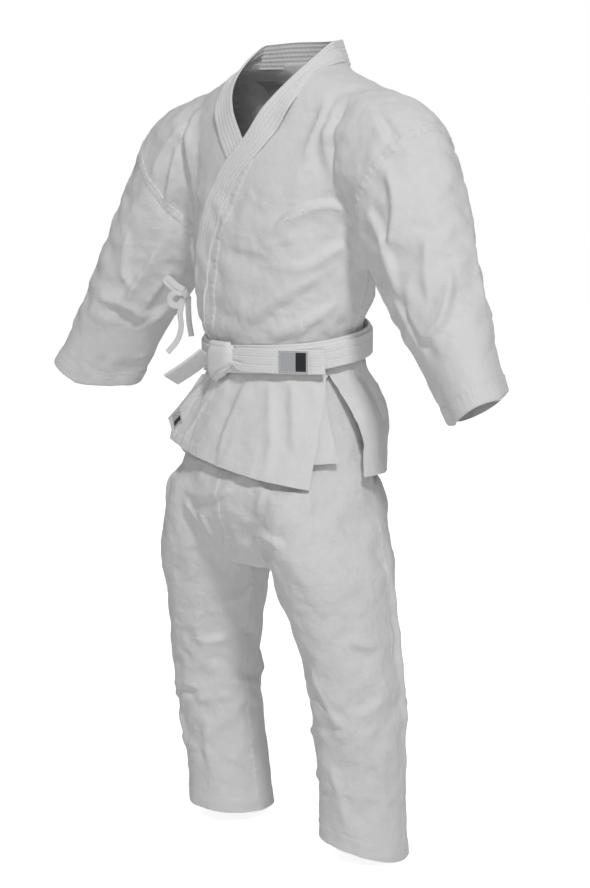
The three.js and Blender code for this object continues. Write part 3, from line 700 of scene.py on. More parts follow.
# Leg hems: height at the middle and slope towards the wearer's right front.
HEM_RISE = {1: (17.0, 0.27), -1: (21.0, 0.07)}


def leg_hem(side, points):
    base, slope = HEM_RISE[side]
    return base - slope * ((points[..., 0] - side * LEG[0, 1]) + points[..., 1] - LEG[0, 2]) * 0.7


def on_sleeve(side):
    return lambda turn, v: sleeve_points(side, turn, v)


# Folds: (stops of turn and height or station, half width, height, lean).
BODY_FOLDS = [
    ([(80, 1020), (60, 1040), (45, 1036), (34, 1022), (26, 999)], 11, 6.5, 1),
    ([(76, 985), (60, 972), (48, 957), (34, 950)], 13, 4.5, 1),
    ([(38, 1000), (30, 990), (20, 985)], 6, 2.5, -1),
    ([(66, 950), (48, 934), (33, 918), (15, 893), (2, 880)], 15, 4.0, -1),
    ([(72, 900), (58, 884), (48, 868), (40, 850)], 9, 4.5, 1),
    ([(60, 886), (40, 866), (22, 852)], 8, 3.5, -1),
    ([(-7, 988), (10, 982), (27, 972)], 6, 1.6, 1),
    ([(46, 1210), (43, 1165), (39, 1125), (38, 1100)], 12, 4.0, -1),
    ([(63, 1215), (58, 1146), (61, 1080), (72, 1040)], 10, -5.0, 0),
    ([(53, 1205), (51, 1150), (54, 1095)], 12, 3.5, -1),
    ([(-48, 1205), (-52, 1160), (-50, 1105), (-44, 1050)], 11, 4.5, 1),
    ([(-58, 1190), (-60, 1130), (-58, 1060), (-62, 990)], 9, -4.5, 0),
    ([(-70, 1000), (-52, 975), (-40, 940)], 12, 4.0, -1),
    ([(-64, 930), (-52, 900), (-46, 862)], 9, 4.0, 1),
    ([(-22, 930), (-26, 890), (-30, 850)], 10, 3.0, 1),
    ([(9, 792), (4, 745), (1, 700), (3, 640)], 12, 3.2, 1),
    ([(24, 794), (28, 740), (31, 690), (30, 640)], 10, 2.8, -1),
    ([(40, 795), (42, 730), (45, 670)], 9, 2.6, 1),
    ([(54, 795), (58, 735), (60, 690)], 8, 2.4, -1),
    ([(-24, 790), (-30, 720), (-34, 660)], 10, 2.4, 1),
    ([(104, 796), (112, 760), (120, 728), (128, 690), (128, 650)], 13, 7.0, 1),
    ([(90, 790), (96, 740), (100, 690), (100, 640)], 8, 4.0, -1),
    ([(150, 800), (148, 740), (144, 680), (146, 630)], 16, 5.0, -1),
    ([(180, 800), (184, 740), (182, 680), (186, 630)], 15, 4.5, 1),
    ([(-150, 800), (-146, 740), (-150, 680), (-144, 630)], 16, 5.0, 1),
    ([(-110, 796), (-118, 750), (-122, 700), (-124, 650)], 13, 5.5, -1),
    ([(130, 1180), (150, 1100), (160, 1010), (158, 930)], 18, 5.0, 1),
    ([(-130, 1180), (-152, 1100), (-160, 1020), (-156, 930)], 18, 5.0, -1),
    ([(170, 930), (168, 890), (160, 856)], 11, 4.5, 1),
    ([(-165, 940), (-170, 890), (-176, 856)], 11, 4.5, -1),
    ([(140, 960), (134, 905), (126, 856)], 11, 5.0, -1),
    ([(-136, 960), (-130, 905), (-122, 856)], 11, 5.0, 1),
    ([(104, 985), (110, 930), (104, 862)], 11, 5.0, 1),
    ([(-100, 990), (-106, 930), (-98, 862)], 11, 5.0, -1),
    ([(120, 1110), (150, 1130), (180, 1138), (-150, 1130), (-120, 1110)], 16, 2.5, 1),
]
SLEEVE_FOLDS = {
    1: [
        ([(-98, 0.32), (-84, 0.44), (-76, 0.55), (-72, 0.66)], 9, 5.0, -1),
        ([(-62, 0.29), (-60, 0.38), (-68, 0.47), (-76, 0.52)], 13, 5.5, 1),
        ([(-4, 0.60), (-10, 0.68), (-22, 0.745), (-44, 0.775), (-70, 0.762)], 12, 6.0, -1),
        ([(-68, 0.66), (-62, 0.73), (-52, 0.79)], 8, 4.5, 1),
        ([(-88, 0.62), (-74, 0.72), (-64, 0.85)], 8, 3.5, -1),
        ([(-30, 0.50), (-34, 0.60), (-38, 0.70)], 13, 3.5, 1),
        ([(-44, 0.13), (-50, 0.19), (-58, 0.25)], 9, 3.0, -1),
        ([(-38, 0.15), (-38, 0.21), (-42, 0.26)], 9, 2.6, 1),
        ([(60, 0.40), (84, 0.52), (96, 0.64)], 14, 5.5, 1),
        ([(120, 0.60), (100, 0.68), (84, 0.78)], 11, 5.0, -1),
        ([(150, 0.55), (130, 0.62), (110, 0.66)], 11, 5.0, 1),
        ([(30, 0.50), (40, 0.66), (44, 0.80)], 13, 3.5, -1),
    ],
    -1: [
        ([(-120, 0.42), (-112, 0.52), (-100, 0.62), (-92, 0.74)], 12, 5.0, 1),
        ([(-140, 0.50), (-128, 0.60), (-118, 0.70)], 9, 4.5, -1),
        ([(-52, 0.715), (-80, 0.70), (-108, 0.695), (-126, 0.74)], 9, 3.5, 1),
        ([(-78, 0.45), (-80, 0.55), (-96, 0.64)], 12, 4.0, -1),
        ([(-74, 0.10), (-96, 0.13), (-114, 0.19), (-124, 0.30)], 10, 5.0, 1),
        ([(-60, 0.08), (-80, 0.15), (-98, 0.26)], 9, 4.0, -1),
        ([(-160, 0.62), (-140, 0.70), (-120, 0.80)], 9, 4.0, 1),
        ([(60, 0.40), (84, 0.52), (96, 0.64)], 14, 5.5, -1),
        ([(120, 0.60), (100, 0.68), (84, 0.78)], 11, 5.0, 1),
        ([(30, 0.45), (40, 0.62), (44, 0.78)], 13, 3.5, 1),
    ],
}
SEAT_FOLDS = [
    ([(-30, 592), (-14, 586), (2, 596), (12, 618)], 12, 4.5, 1),
    ([(26, 640), (30, 600), (24, 560)], 12, 3.5, -1),
    ([(50, 640), (54, 600), (50, 560)], 14, 3.0, 1),
    ([(-52, 640), (-50, 600), (-44, 560)], 13, 3.0, -1),
    ([(150, 640), (140, 590), (130, 540)], 18, 5.0, 1),
    ([(-150, 640), (-140, 590), (-130, 540)], 18, 5.0, -1),
]
LEG_FOLDS = {
    1: [
        ([(-40, 520), (-18, 532), (2, 528), (14, 512)], 10, 6.0, -1),
        ([(-50, 500), (-30, 492), (-12, 470)], 10, 4.5, 1),
        ([(-64, 470), (-44, 440), (-26, 400)], 11, 4.0, 1),
        ([(-10, 330), (-4, 300), (9, 262), (33, 226)], 8, 6.0, 1),
        ([(-16, 280), (-4, 262), (12, 244), (28, 230)], 7, 4.5, -1),
        ([(-34, 300), (-22, 262), (-8, 232)], 8, 3.5, 1),
        ([(44, 250), (62, 262), (84, 284)], 12, 4.0, -1),
        ([(50, 380), (66, 366), (88, 362)], 13, 3.5, 1),
        ([(-2, 180), (8, 140), (20, 90), (24, 50)], 13, 3.5, -1),
        ([(60, 200), (72, 140), (76, 70)], 14, 3.0, 1),
        ([(104, 520), (118, 450), (128, 380), (124, 300), (128, 200), (130, 60)], 9, 5.0, 1),
        ([(170, 300), (150, 262), (130, 246)], 12, 6.0, -1),
        ([(-170, 320), (-140, 280), (-110, 262)], 12, 5.5, 1),
        ([(176, 240), (-176, 180), (178, 90)], 14, 4.0, 1),
        ([(150, 500), (160, 440), (166, 380)], 16, 5.0, -1),
    ],
    -1: [
        ([(10, 570), (26, 552), (42, 528)], 11, 5.5, 1),
        ([(40, 590), (52, 560), (60, 530)], 10, 4.0, -1),
        ([(92, 430), (80, 408), (62, 388)], 9, 4.5, 1),
        ([(98, 480), (84, 462), (66, 452)], 9, 3.5, -1),
        ([(64, 330), (40, 322), (20, 332)], 12, 3.5, 1),
        ([(-44, 226), (-20, 238), (10, 241), (28, 238)], 8, 4.0, 1),
        ([(62, 250), (84, 246), (104, 238), (126, 230)], 7, 4.5, -1),
        ([(70, 210), (92, 214), (118, 200)], 7, 3.5, 1),
        ([(-38, 200), (-30, 160), (-36, 110)], 11, 3.5, -1),
        ([(30, 190), (20, 140), (24, 80)], 13, 3.0, 1),
        ([(30, 380), (26, 350), (34, 300)], 14, 3.0, -1),
        ([(170, 300), (150, 262), (130, 246)], 12, 5.5, 1),
        ([(-170, 320), (-140, 280), (-110, 262)], 12, 6.0, -1),
        ([(-104, 520), (-118, 450), (-124, 300), (-128, 60)], 9, 4.0, -1),
        ([(176, 240), (-176, 180), (178, 90)], 14, 4.0, -1),
    ],
}


def fold_lines(table, surface):
    return [(path_on(surface, stops), width, height, lean)
            for stops, width, height, lean in table]


def sharper(lines):
    return [(path, max(width * 0.6, 7.0), height * 0.9, lean)
            for path, width, height, lean in lines]


def draped_shell(points, quads, hold, slack, lines, quiet, reach):
    """Lets a coarse skin go slack, makes it fine, then adds the listed folds."""
    rest = polished(points, quads, 9)
    normals = vertex_normals(rest, quads)
    seed = lattice_noise(rest, 42.0, 3) + 0.5 * lattice_noise(rest, 21.0, 8)
    start = rest + normals * (fold_height(rest, normals, lines) + seed * 2.0)[:, None]
    shape = drape(rest, start, quads, slack(rest), hold(rest), reach, ROUNDS, 1.1)
    fine_rest, fine = modified(rest, quads, "SUBSURF", levels=2)
    fine_shape, _ = modified(shape, quads, "SUBSURF", levels=2)
    normals = vertex_normals(fine_rest, fine)
    loose = quiet(fine_rest)
    crease = fold_height(fine_rest, normals, sharper(lines))
    ripple = 2.0 * (0.35 - np.abs(lattice_noise(fine_rest * [1, 1, 0.7], 46.0, 15)))
    ripple += 1.4 * (0.35 - np.abs(lattice_noise(fine_rest * [0.8, 1, 1], 24.0, 5)))
    ripple += 0.4 * lattice_noise(fine_rest, 10.0, 6)
    moved = (fine_shape - fine_rest) * loose[:, None]
    moved += normals * ((crease + ripple) * loose)[:, None]
    return Shell(fine_rest, fine_rest + moved, fine)


def flat_height(points):
    """Height with the waist line's tilt taken out."""
    return points[:, 2] - WAIST_TILT * (points[:, 1] - TILT_CENTRE_Y) * 0.95


def jacket_calm(points):
    """1 where the jacket is free, down to 0 under the belt and at the neck."""
    belt = np.exp(-((flat_height(points) - BELT_HEIGHT) / 21) ** 4)
    neck = smooth((points[:, 2] - 1205) / 40) * smooth((150 - np.abs(points[:, 0])) / 40)
    lapel = smooth((points[:, 2] - 1060) / 50) * smooth((125 - np.abs(points[:, 0])) / 35)
    lapel *= smooth((40 - points[:, 1]) / 30)
    return (1 - belt) * (1 - 0.9 * np.maximum(neck, 0.9 * lapel))


def make_jacket():
    skin, quads = merged([loft_solid(body_grid())] + [loft_solid(sleeve_grid(s)) for s in (1, -1)],
                         VOXEL)
    outside = (skin[:, 2] < 596) | (skin[:, 2] > 1274)
    for side in (1, -1):
        outside |= (before_cuff(side, skin) < -32) & (skin[:, 0] * side > 330)
    points, quads = without(skin, quads, outside)
    lines = fold_lines(BODY_FOLDS, on_body)
    for side in (1, -1):
        lines += fold_lines(SLEEVE_FOLDS[side], on_sleeve(side))

    def hold(p):
        return 0.004 + 0.5 * (1 - jacket_calm(p))

    def slack(p):
        return 1.012 + 0.014 * np.exp(-((flat_height(p) - 850) / 40) ** 2) \
            + 0.012 * smooth((np.abs(p[:, 0]) - 250) / 40)

    return draped_shell(points, quads, hold, slack, lines, jacket_calm, (-7.0, 8.0))


def make_trousers():
    u, v = np.meshgrid(TURNS, station_of(SEAT, np.linspace(470, 835, 70)))
    seat = ring_points(SEAT, u, v)
    seat = np.concatenate([seat, seat[-1:] + [0, 0, 30]])
    solids = [loft_solid(seat)]
    for side in (1, -1):
        u, v = np.meshgrid(TURNS[::2] * side, station_of(LEG, np.linspace(0, 600, 110)))
        leg = leg_points(side, u, v)
        solids.append(loft_solid(np.concatenate([leg[:1] - [0, 0, 40], leg])))
    skin, quads = merged(solids, VOXEL)
    points, quads = without(skin, quads, (skin[:, 2] < -16) | (skin[:, 2] > 850))
    lines = fold_lines(SEAT_FOLDS, on_seat)
    for side in (1, -1):
        lines += fold_lines(LEG_FOLDS[side], on_leg(side))

    def hold(p):
        return 0.004 + 0.3 * smooth((p[:, 2] - 700) / 60)

    def slack(p):
        knee = np.exp(-((p[:, 2] - 250) / 70) ** 2)
        return 1.010 + 0.014 * knee + 0.012 * np.exp(-((p[:, 2] - 500) / 40) ** 2)

    def quiet(p):
        return 1 - 0.8 * smooth((p[:, 2] - 690) / 60)

    return draped_shell(points, quads, hold, slack, lines, quiet, (-6.0, 8.0))


jacket = make_jacket()
trousers = make_trousers()

# ---- stitched strips ------------------------------------------------------------------------


def grid_normals(points, towards=None):
    """Normals of a grid of points, on the side of the sample direction if one is given."""
    rows, columns = points.shape[:2]
    flat = vertex_normals(points.reshape(-1, 3), grid_faces(rows, columns))
    if towards is not None and (flat * towards.reshape(-1, 3)).sum() < 0:
        flat = -flat
    return flat.reshape(points.shape)


def front_normals(points):
    """Normals of a grid of points that looks to the front."""
    return grid_normals(points, np.zeros_like(points) + [0, -1, 0])


def sampled(grid, s, w):
    """Values of a grid at s along its rows and w across them, both from 0 to 1."""
    rows, columns = grid.shape[:2]
    a, b = np.clip(s, 0, 1) * (rows - 1), np.clip(w, 0, 1) * (columns - 1)
    i, j = np.minimum(a.astype(int), rows - 2), np.minimum(b.astype(int), columns - 2)
    f, g = (a - i)[:, None], (b - j)[:, None]
    low = grid[i, j] * (1 - g) + grid[i, j + 1] * g
    high = grid[i + 1, j] * (1 - g) + grid[i + 1, j + 1] * g
    return low * (1 - f) + high * f


STITCH_FACES = np.array([[0, 2, 4], [2, 1, 4], [1, 3, 4], [3, 0, 4],
                         [2, 0, 5], [1, 2, 5], [3, 1, 5], [0, 3, 5]])


def stitches(places, along, up):
    """One small spindle of thread at each place."""
    across = np.cross(along, up) * STITCH_RADIUS
    ends = along * (STITCH / 2)
    corner = np.stack([places - ends, places + ends, places - across, places + across,
                       places + up * STITCH_RADIUS * 1.3, places - up * STITCH_RADIUS], 1)
    faces = STITCH_FACES[None] + np.arange(len(places))[:, None, None] * 6
    return corner.reshape(-1, 3), [faces.reshape(-1, 3)]


def stitch_line(points, normals, s, w, pitch):
    """Stitches along one line of a grid, given by s and w at a few stops."""
    t = np.linspace(0, 1, 200)
    s, w = (np.interp(t, np.linspace(0, 1, len(q)), q) for q in (s, w))
    line = sampled(points, s, w)
    far = distance_along(line)
    at = np.arange(pitch / 2, far[-1], pitch)
    s, w = np.interp(at, far, s), np.interp(at, far, w)
    along = unit(path_at(at + 1, far, line) - path_at(at - 1, far, line))
    return stitches(sampled(points, s, w), along, unit(sampled(normals, s, w)))


def outward_faces(points, normals):
    """The faces of a grid, turned to look along its normals."""
    faces = grid_faces(*points.shape[:2])
    own = grid_normals(points)
    return faces[:, ::-1] if (own * normals).sum() < 0 else faces


def strip(points, normals, thick, relief=0.0, lines=(), pitch=STITCH_PITCH):
    """A closed strip standing on a grid of points, with lines of stitches on its outer face."""
    top = points + normals * (np.zeros(points.shape[:2]) + thick + relief)[..., None]
    faces = outward_faces(points, normals)
    parts = [(*solid_of(top, normals, faces, thick), 0)]
    for s, w in lines:
        parts.append((*stitch_line(top, normals, s, w, pitch), 1))
    return parts


def quilted(points, normals, thick, rows, pitch=7.5, depth=0.8, spacing=STITCH_PITCH):
    """A strip with close rows of stitching: a groove at each row and puckers along it."""
    far = distance_along(points.mean(1))[:, None]
    w = np.linspace(0, 1, points.shape[1])[None] * rows
    crown = np.abs(np.sin(np.pi * w)) ** 0.6
    phase = np.floor(w) * 2.4
    pucker = np.cos(2 * np.pi * far / pitch + phase) * np.minimum(crown, 0.8)
    relief = depth * (crown - 1) + 0.34 * depth * pucker
    lines = [((0.004, 0.996), (k / rows, k / rows)) for k in range(1, rows)]
    return strip(points, normals, thick, relief, lines, spacing)


def spaced(path, gap):
    """A path with its points about a gap apart."""
    path = np.asarray(path, float)
    far = distance_along(path)
    return path_at(np.linspace(0, far[-1], max(int(far[-1] / gap), 2) + 1), far, path)


def stuck(shell, points, lift=0.0):
    """Points laid on a draped shell, and its normals there."""
    corner, share, _ = shell.nearest(points.reshape(-1, 3))
    normals = unit((shell.normals[corner] * share[:, :, None]).sum(1))
    place = (shell.shape[corner] * share[:, :, None]).sum(1)
    raised = lift(points.reshape(-1, 3)) if callable(lift) else lift
    place = place + normals * (np.zeros(len(place)) + raised)[:, None]
    return place.reshape(points.shape), normals.reshape(points.shape)


def ring_between(shell, value, centre, axis, count=140):
    """The closed line where a value changes sign on a shell, evened out, turning about an axis."""
    i, j = distinct_edges(shell.triangles).T
    cut = (value[i] > 0) != (value[j] > 0)
    i, j = i[cut], j[cut]
    share = (value[i] / (value[i] - value[j]))[:, None]
    places = shell.rest[i] * (1 - share) + shell.rest[j] * share
    across = unit(np.cross(axis, [0, 1, 0]))
    along = np.cross(across, axis)
    angle = np.arctan2((places - centre) @ along, (places - centre) @ across)
    turns = np.linspace(0, 2 * math.pi, count)
    gap = (turns[:, None] - angle + math.pi) % (2 * math.pi) - math.pi
    weight = np.exp(-(gap / 0.09) ** 2)
    return (weight @ places) / weight.sum(1)[:, None]


def rest_normals(shell, points):
    corner, share, _ = shell.nearest(points)
    a, b, c = (shell.rest[corner[:, k]] for k in range(3))
    return unit(np.cross(b - a, c - a))


SEAM_STEP = 2.4


def seam_profile(w):
    """Height of a folded edge across its width, which w crosses from -0.5 to 0.5."""
    return np.sqrt(np.clip(1 - (np.abs(w) * 2) ** 4, 0, 1))


def no_lift(points):
    return np.zeros(len(points))


def seam(shell, path, width, rows, lift=no_lift, height=0.9, pucker=0.0, across=7):
    """A raised seam along a path on a shell, with rows of stitches and gathers beside them."""
    path = spaced(path, SEAM_STEP)
    along = unit(np.gradient(path, axis=0))
    side = unit(np.cross(along, rest_normals(shell, path)))
    w = np.linspace(-0.5, 0.5, across)
    wanted = path[:, None] + side[:, None] * (w * width)[None, :, None]
    points, normals = stuck(shell, wanted, lambda p: lift(p) + CLOTH)
    profile = seam_profile(w)
    far = np.arange(len(path)) * SEAM_STEP
    gather = pucker * (np.cos(far / 1.9) + 0.6 * np.cos(far / 1.15 + 1))[:, None]
    relief = height * (profile - 1)[None] + gather * profile[None]
    points = points - normals * 0.6
    lines = [((0.01, 0.99), ((k + 0.5) / rows,) * 2) for k in range(rows)]
    return strip(points, normals, height + 0.5, relief, lines)


HEM_TURNS = np.linspace(0, 2 * math.pi, 161)
HEM_ACROSS = np.linspace(0, 1, 15)[None]


def ring_hem(shell, rim, thick, waves, gather, lip, rows, pitch=STITCH_PITCH):
    """The doubled cloth round an opening, gathered along its stitches, with a thinner lip."""
    points, out = stuck(shell, rim, CLOTH)
    turn = HEM_TURNS[:, None]
    relief = gather * np.cos(turn * waves[0] + 2 * np.sin(turn * waves[1]))
    relief = relief - lip * (HEM_ACROSS > 0.97)
    return strip(points, out, thick, relief, [((0, 1), (k, k)) for k in rows], pitch)


# ---- panels ---------------------------------------------------------------------------------

pieces = {}


def keep_piece(name, parts, kind, body, *nodes):
    """Makes a piece that rides on a body, or on none."""
    materials, slot = KINDS[kind]
    obj = add_object(name, parts, materials)
    obj.data.set_sharp_from_angle(angle=math.radians(60))
    pieces[name] = obj
    if body:
        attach(obj, body)
    if nodes:
        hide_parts(*nodes)
    return obj


def join(name, body, other, start, end):
    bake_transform(pieces[name])


def panel_parts(shell, keep, lift=no_lift):
    """The cloth of one panel: the part of a shell where keep is above 0, lifted off it."""
    outer = shell.shape + shell.normals * (CLOTH + lift(shell.rest))[:, None]
    rows, faces = clip(np.concatenate([outer, shell.normals], 1), shell.triangles, keep)
    return [(*solid_of(rows[:, :3], unit(rows[:, 3:]), faces, CLOTH), 0)]


WORD = {1: "left", -1: "right"}  # the wearer's side, by the sign of X

x, y, z = jacket.rest.T
from_body = surface_distance(body_grid(), jacket.rest)
sleeve_keep = {}
for side in (1, -1):
    from_sleeve = surface_distance(sleeve_grid(side), jacket.rest)
    station = arm_station(side, jacket.rest)
    mine = np.minimum(from_body - from_sleeve, (station - SLEEVE_SEAM) * 400)
    sleeve_keep[side] = np.where(x * side > 120, mine, -50.0)
torso = np.minimum(-sleeve_keep[1], -sleeve_keep[-1])
seam_line = np.interp(np.abs(x), [150, 430], [SEAM_Y, -38])


def left_lift(points):
    lift = LEFT_LAYER * smooth((145 - points[:, 0]) / 40) * smooth((1165 - points[:, 2]) / 60)
    return lift * smooth((SEAM_Y + 6 - points[:, 1]) / 12)


LIFT = {1: left_lift, -1: no_lift}
lapel_line = [[(a[0] + b[0]) / 2, (a[1] + b[1]) / 2] for a, b in zip(LAPEL_FREE, LAPEL_SEWN)]
lapel_line += [[(a[0] + b[0]) / 2, (a[2] + b[2]) / 2] for a, b in zip(NECK_FREE[:3], NECK_SEWN)]
lapel_line = np.array(lapel_line + [[92, 1256]])
seam_top = PUCKER_SEAM[-1][1]
seam_path = np.array(PUCKER_SEAM + [p for p in lapel_line.tolist() if p[1] > seam_top + 10])


def reached(side, line_x):
    """An X on the left side's drawing, on the side asked for."""
    return line_x if side > 0 else np.where(line_x < 0, line_x * UNDER_LAPEL_REACH, line_x)


def beside(side, line):
    return side * x - reached(side, np.interp(z, line[:, 1], line[:, 0]))


def front_line(side, line, low, high):
    """A drawn line laid on the front of the body between two heights."""
    heights = np.arange(low, high, 6.0)
    across = side * reached(side, np.interp(heights, line[:, 1], line[:, 0]))
    return on_front(across, heights, 0.0)


def front_of_body(across, height):
    across, height = np.broadcast_arrays(np.asarray(across, float), np.asarray(height, float))
    deep = np.full(across.shape, -100.0)
    fade = tilt_fade(height)
    for _ in range(6):
        flat = height - WAIST_TILT * (deep - TILT_CENTRE_Y) * fade
        row = at_station(BODY, station_of(BODY, flat))
        deep = row[..., 1] - row[..., 3] * oval(across, row[..., 2])
    return deep


def on_front(across, height, distance):
    across, height = np.broadcast_arrays(np.asarray(across, float), np.asarray(height, float))
    fx = (front_of_body(across + 2, height) - front_of_body(across - 2, height)) / 4
    fz = (front_of_body(across, height + 2) - front_of_body(across, height - 2)) / 4
    out = unit(np.stack([fx, -np.ones_like(fx), fz], -1))
    place = np.stack([across, front_of_body(across, height), height], -1)
    return place + out * (np.zeros(across.shape) + distance)[..., None]


flap_top = np.interp(x, *np.array(FRONT_FLAP_TOP, float).T)
flap_top = flap_top + (794 - flap_top) * smooth((np.abs(x) - 126) / 10)
front = np.minimum.reduce([torso, seam_line - y, z - flap_top])
back = np.minimum.reduce([torso, y - seam_line, z - BACK_FLAP_TOP, 1264 - z])


def side_seam(side):
    heights = np.arange(758.0, 1000.0, 8)
    row = at_station(BODY, station_of(BODY, heights))
    lean = np.sqrt(1 - ((SEAM_Y - row[:, 1]) / row[:, 3]) ** 2)
    return tilt(np.stack([side * row[:, 2] * lean, SEAM_Y + 0 * heights, heights], 1))


for side, word in WORD.items():
    lapel_side, seam_side = beside(side, lapel_line), beside(side, seam_path)
    main = panel_parts(jacket, np.minimum.reduce([front, lapel_side, seam_side]), LIFT[side])
    main += seam(jacket, side_seam(side), 9, 2, LIFT[side], pucker=0.35)
    keep_piece(f"cloth_{word}_front", main, "jacket", "jacket", f"{word}_front")
    edge = panel_parts(jacket, np.minimum.reduce([front, lapel_side, -seam_side]), LIFT[side])
    edge += seam(jacket, front_line(side, seam_path, 764, 1119), 11, 2, LIFT[side], 1.2, 0.4)
    keep_piece(f"cloth_{word}_extension", edge, "jacket", "jacket", f"{word}_front_extension")
    half = panel_parts(jacket, np.minimum(back, x * side))
    if side > 0:
        half += seam(jacket, upright(on_body, math.pi, 758, 1250), 8, 2, pucker=0.2)
    keep_piece(f"cloth_{word}_back", half, "jacket", "jacket", f"{word}_back")
    rim = sleeve_points(side, np.linspace(0, 6, 7), np.full(7, SLEEVE_SEAM))
    ring = ring_between(jacket, sleeve_keep[side], rim.mean(0), CUFF_AXIS * [side, 1, 1])
    tube = panel_parts(jacket, np.minimum(sleeve_keep[side], cuff_edge(side, jacket.rest)))
    keep_piece(f"cloth_{word}_sleeve", tube, "jacket", None,
               f"{word}_sleeve_front", f"{word}_sleeve_back")
    armhole = seam(jacket, ring, 15, 3, no_lift, 1.3, 0.5)
    keep_piece(f"seam_{word}_armhole", armhole, "jacket", "jacket")
    join(f"cloth_{word}_sleeve", "jacket", f"{word}_sleeve", *(SLEEVE_JOINT * [side, 1, 1]))
    turns, inward = crossed_grid(HEM_TURNS, np.linspace(27, 0.6, 15))
    rim = sleeve_points(side, turns, np.ones_like(turns))
    inward = inward - cuff_edge(side, rim.reshape(-1, 3)).reshape(turns.shape)
    rim = rim - CUFF_AXIS * [side, 1, 1] * inward[..., None]
    hem = ring_hem(jacket, rim, 1.2, (41, 7), 0.4 * (1.1 - HEM_ACROSS), 0.5,
                   (0.12, 0.3, 0.86), 4.6)
    keep_piece(f"hem_{word}_cuff", hem, "jacket", f"{word}_sleeve", f"{word}_cuff_hem")

# ---- lapels and neck band -------------------------------------------------------------------


def edge_curve(table, neck, side, offset):
    low = np.array([on_front(side * float(reached(side, np.array(a))), h, offset)
                    for a, h in table])
    high = np.array(neck[:4], float)
    past = high[-1] + 0.25 * (np.array(neck[4], float) - high[-1])
    return np.concatenate([low, np.vstack([high, past]) * [side, 1, 1]])


def band_grid(free, sewn, count, across):
    f, s = curve_through(free, count), curve_through(sewn, count)
    w = np.linspace(0, 1, across)[None, :, None]
    points = f[:, None] * (1 - w) + s[:, None] * w
    centre = np.array([0, 15, 0])
    away = (points - centre) * [1, 1, 0]
    return points, grid_normals(points, away)


def lifted(points, lift):
    """A band raised where its sewn edge would sink into the cloth beneath it."""
    flat = points.reshape(-1, 3)
    corner, share, _ = jacket.nearest(flat)
    out = rest_normals(jacket, flat)
    place = (jacket.rest[corner] * share[:, :, None]).sum(1)
    height = ((flat - place) * out).sum(1)
    sink = np.clip(CLOTH + lift(flat) - height, 0, 9).reshape(points.shape[:2])
    sink = sink * smooth((np.linspace(0, 1, points.shape[1]) - 0.3) / 0.4)
    return points + out.reshape(points.shape) * sink[..., None]


def lapel_band(points, normals, thick=LAPEL_THICK):
    return quilted(points, normals, thick, LAPEL_ROWS)


for side, word in WORD.items():
    free, sewn = (edge_curve(low, neck, side, LAPEL_STANDOFF[side])
                  for low, neck in ((LAPEL_FREE, NECK_FREE), (LAPEL_SEWN, NECK_SEWN)))
    points, normals = band_grid(free, sewn, 340, 31)
    points = jacket.carry(lifted(points, LIFT[side]), 26.0)
    normals = grid_normals(points, normals)
    keep_piece(f"band_{word}_lapel", lapel_band(points, normals), "band", "jacket",
               f"{word}_lapel")

around = {}
for key, table in (("free", NECK_FREE), ("sewn", NECK_SEWN)):
    half = np.array(table[3:], float)
    around[key] = np.concatenate([half, half[-2::-1] * [-1, 1, 1]])
points, normals = band_grid(around["free"], around["sewn"], 130, 31)
keep_piece("band_neck", lapel_band(points, normals), "band", "jacket", "neck_band")

# ---- skirt flaps ----------------------------------------------------------------------------

FLARE_X = -78.0


def on_skirt(across, height, distance):
    """Like on_front, but past the corner the skirt runs on straight instead of round the hip."""
    across, height = np.broadcast_arrays(np.asarray(across, float), np.asarray(height, float))
    slope = (front_of_body(FLARE_X + 2, height) - front_of_body(FLARE_X - 2, height)) / 4
    edge = on_front(np.full(across.shape, FLARE_X), height, distance)
    run = np.stack([across, edge[..., 1] + slope * 0.7 * (across - FLARE_X), height], -1)
    return np.where((across > FLARE_X)[..., None], on_front(across, height, distance), run)


def patch(outline, rows, columns):
    """A grid of (X, height) inside four edges: bottom, top, left and right."""
    bottom, top, left, right = (np.array(edge, float) for edge in outline)

    def along(edge, count):
        far = distance_along(edge)
        return path_at(np.linspace(0, far[-1], count), far, edge)

    b, t = along(bottom, columns)[None], along(top, columns)[None]
    l, r = along(left, rows)[:, None], along(right, rows)[:, None]
    u = np.linspace(0, 1, columns)[None, :, None]
    v = np.linspace(0, 1, rows)[:, None, None]
    corners = (1-u)*(1-v)*b[:, :1] + u*(1-v)*b[:, -1:] + (1-u)*v*t[:, :1] + u*v*t[:, -1:]
    grid = (1-v)*b + v*t + (1-u)*l + u*r - corners
    return grid[..., 0], grid[..., 1]


def edge_step(distance, width):
    """Raises the doubled cloth of a hem, with a small dip at its stitch line."""
    dip = np.exp(-((distance - width * 0.9) / 1.6) ** 2)
    return 0.9 * smooth((width - distance) / 2.5) - 0.5 * dip


SIDE_HEM = 9.0


def hemmed(points, normals, bottom):
    """A flap of cloth doubled along its bottom and its left edge; its first row is the bottom."""
    height = np.linalg.norm(np.diff(points, axis=0), axis=2).sum(0).mean()
    width = np.linalg.norm(np.diff(points, axis=1), axis=2).sum(1).mean()
    up = np.linspace(0, height, points.shape[0])[:, None]
    over = np.linspace(0, width, points.shape[1])[None]
    ripple = 0.35 * lattice_noise(points.reshape(-1, 3) * [1, 1, 0.25], 7.0, 4)
    relief = edge_step(up, bottom)
    relief = relief + ripple.reshape(points.shape[:2]) * smooth((bottom * 1.6 - up) / bottom)
    relief = np.maximum(relief, edge_step(width - over, SIDE_HEM))
    lines = [((bottom * 0.9 / height,) * 2, (0.004, 0.996)),
             ((0.0, 1.0), (1 - SIDE_HEM * 0.9 / width,) * 2)]
    return strip(points, normals, CLOTH, relief, lines)


def flap(outline, surface, distance, rows=70, columns=110):
    across, height = patch(outline, rows, columns)
    raised = distance(across, height) if callable(distance) else distance
    points = jacket.carry(surface(across, height, raised), 30.0)
    return points, front_normals(points)


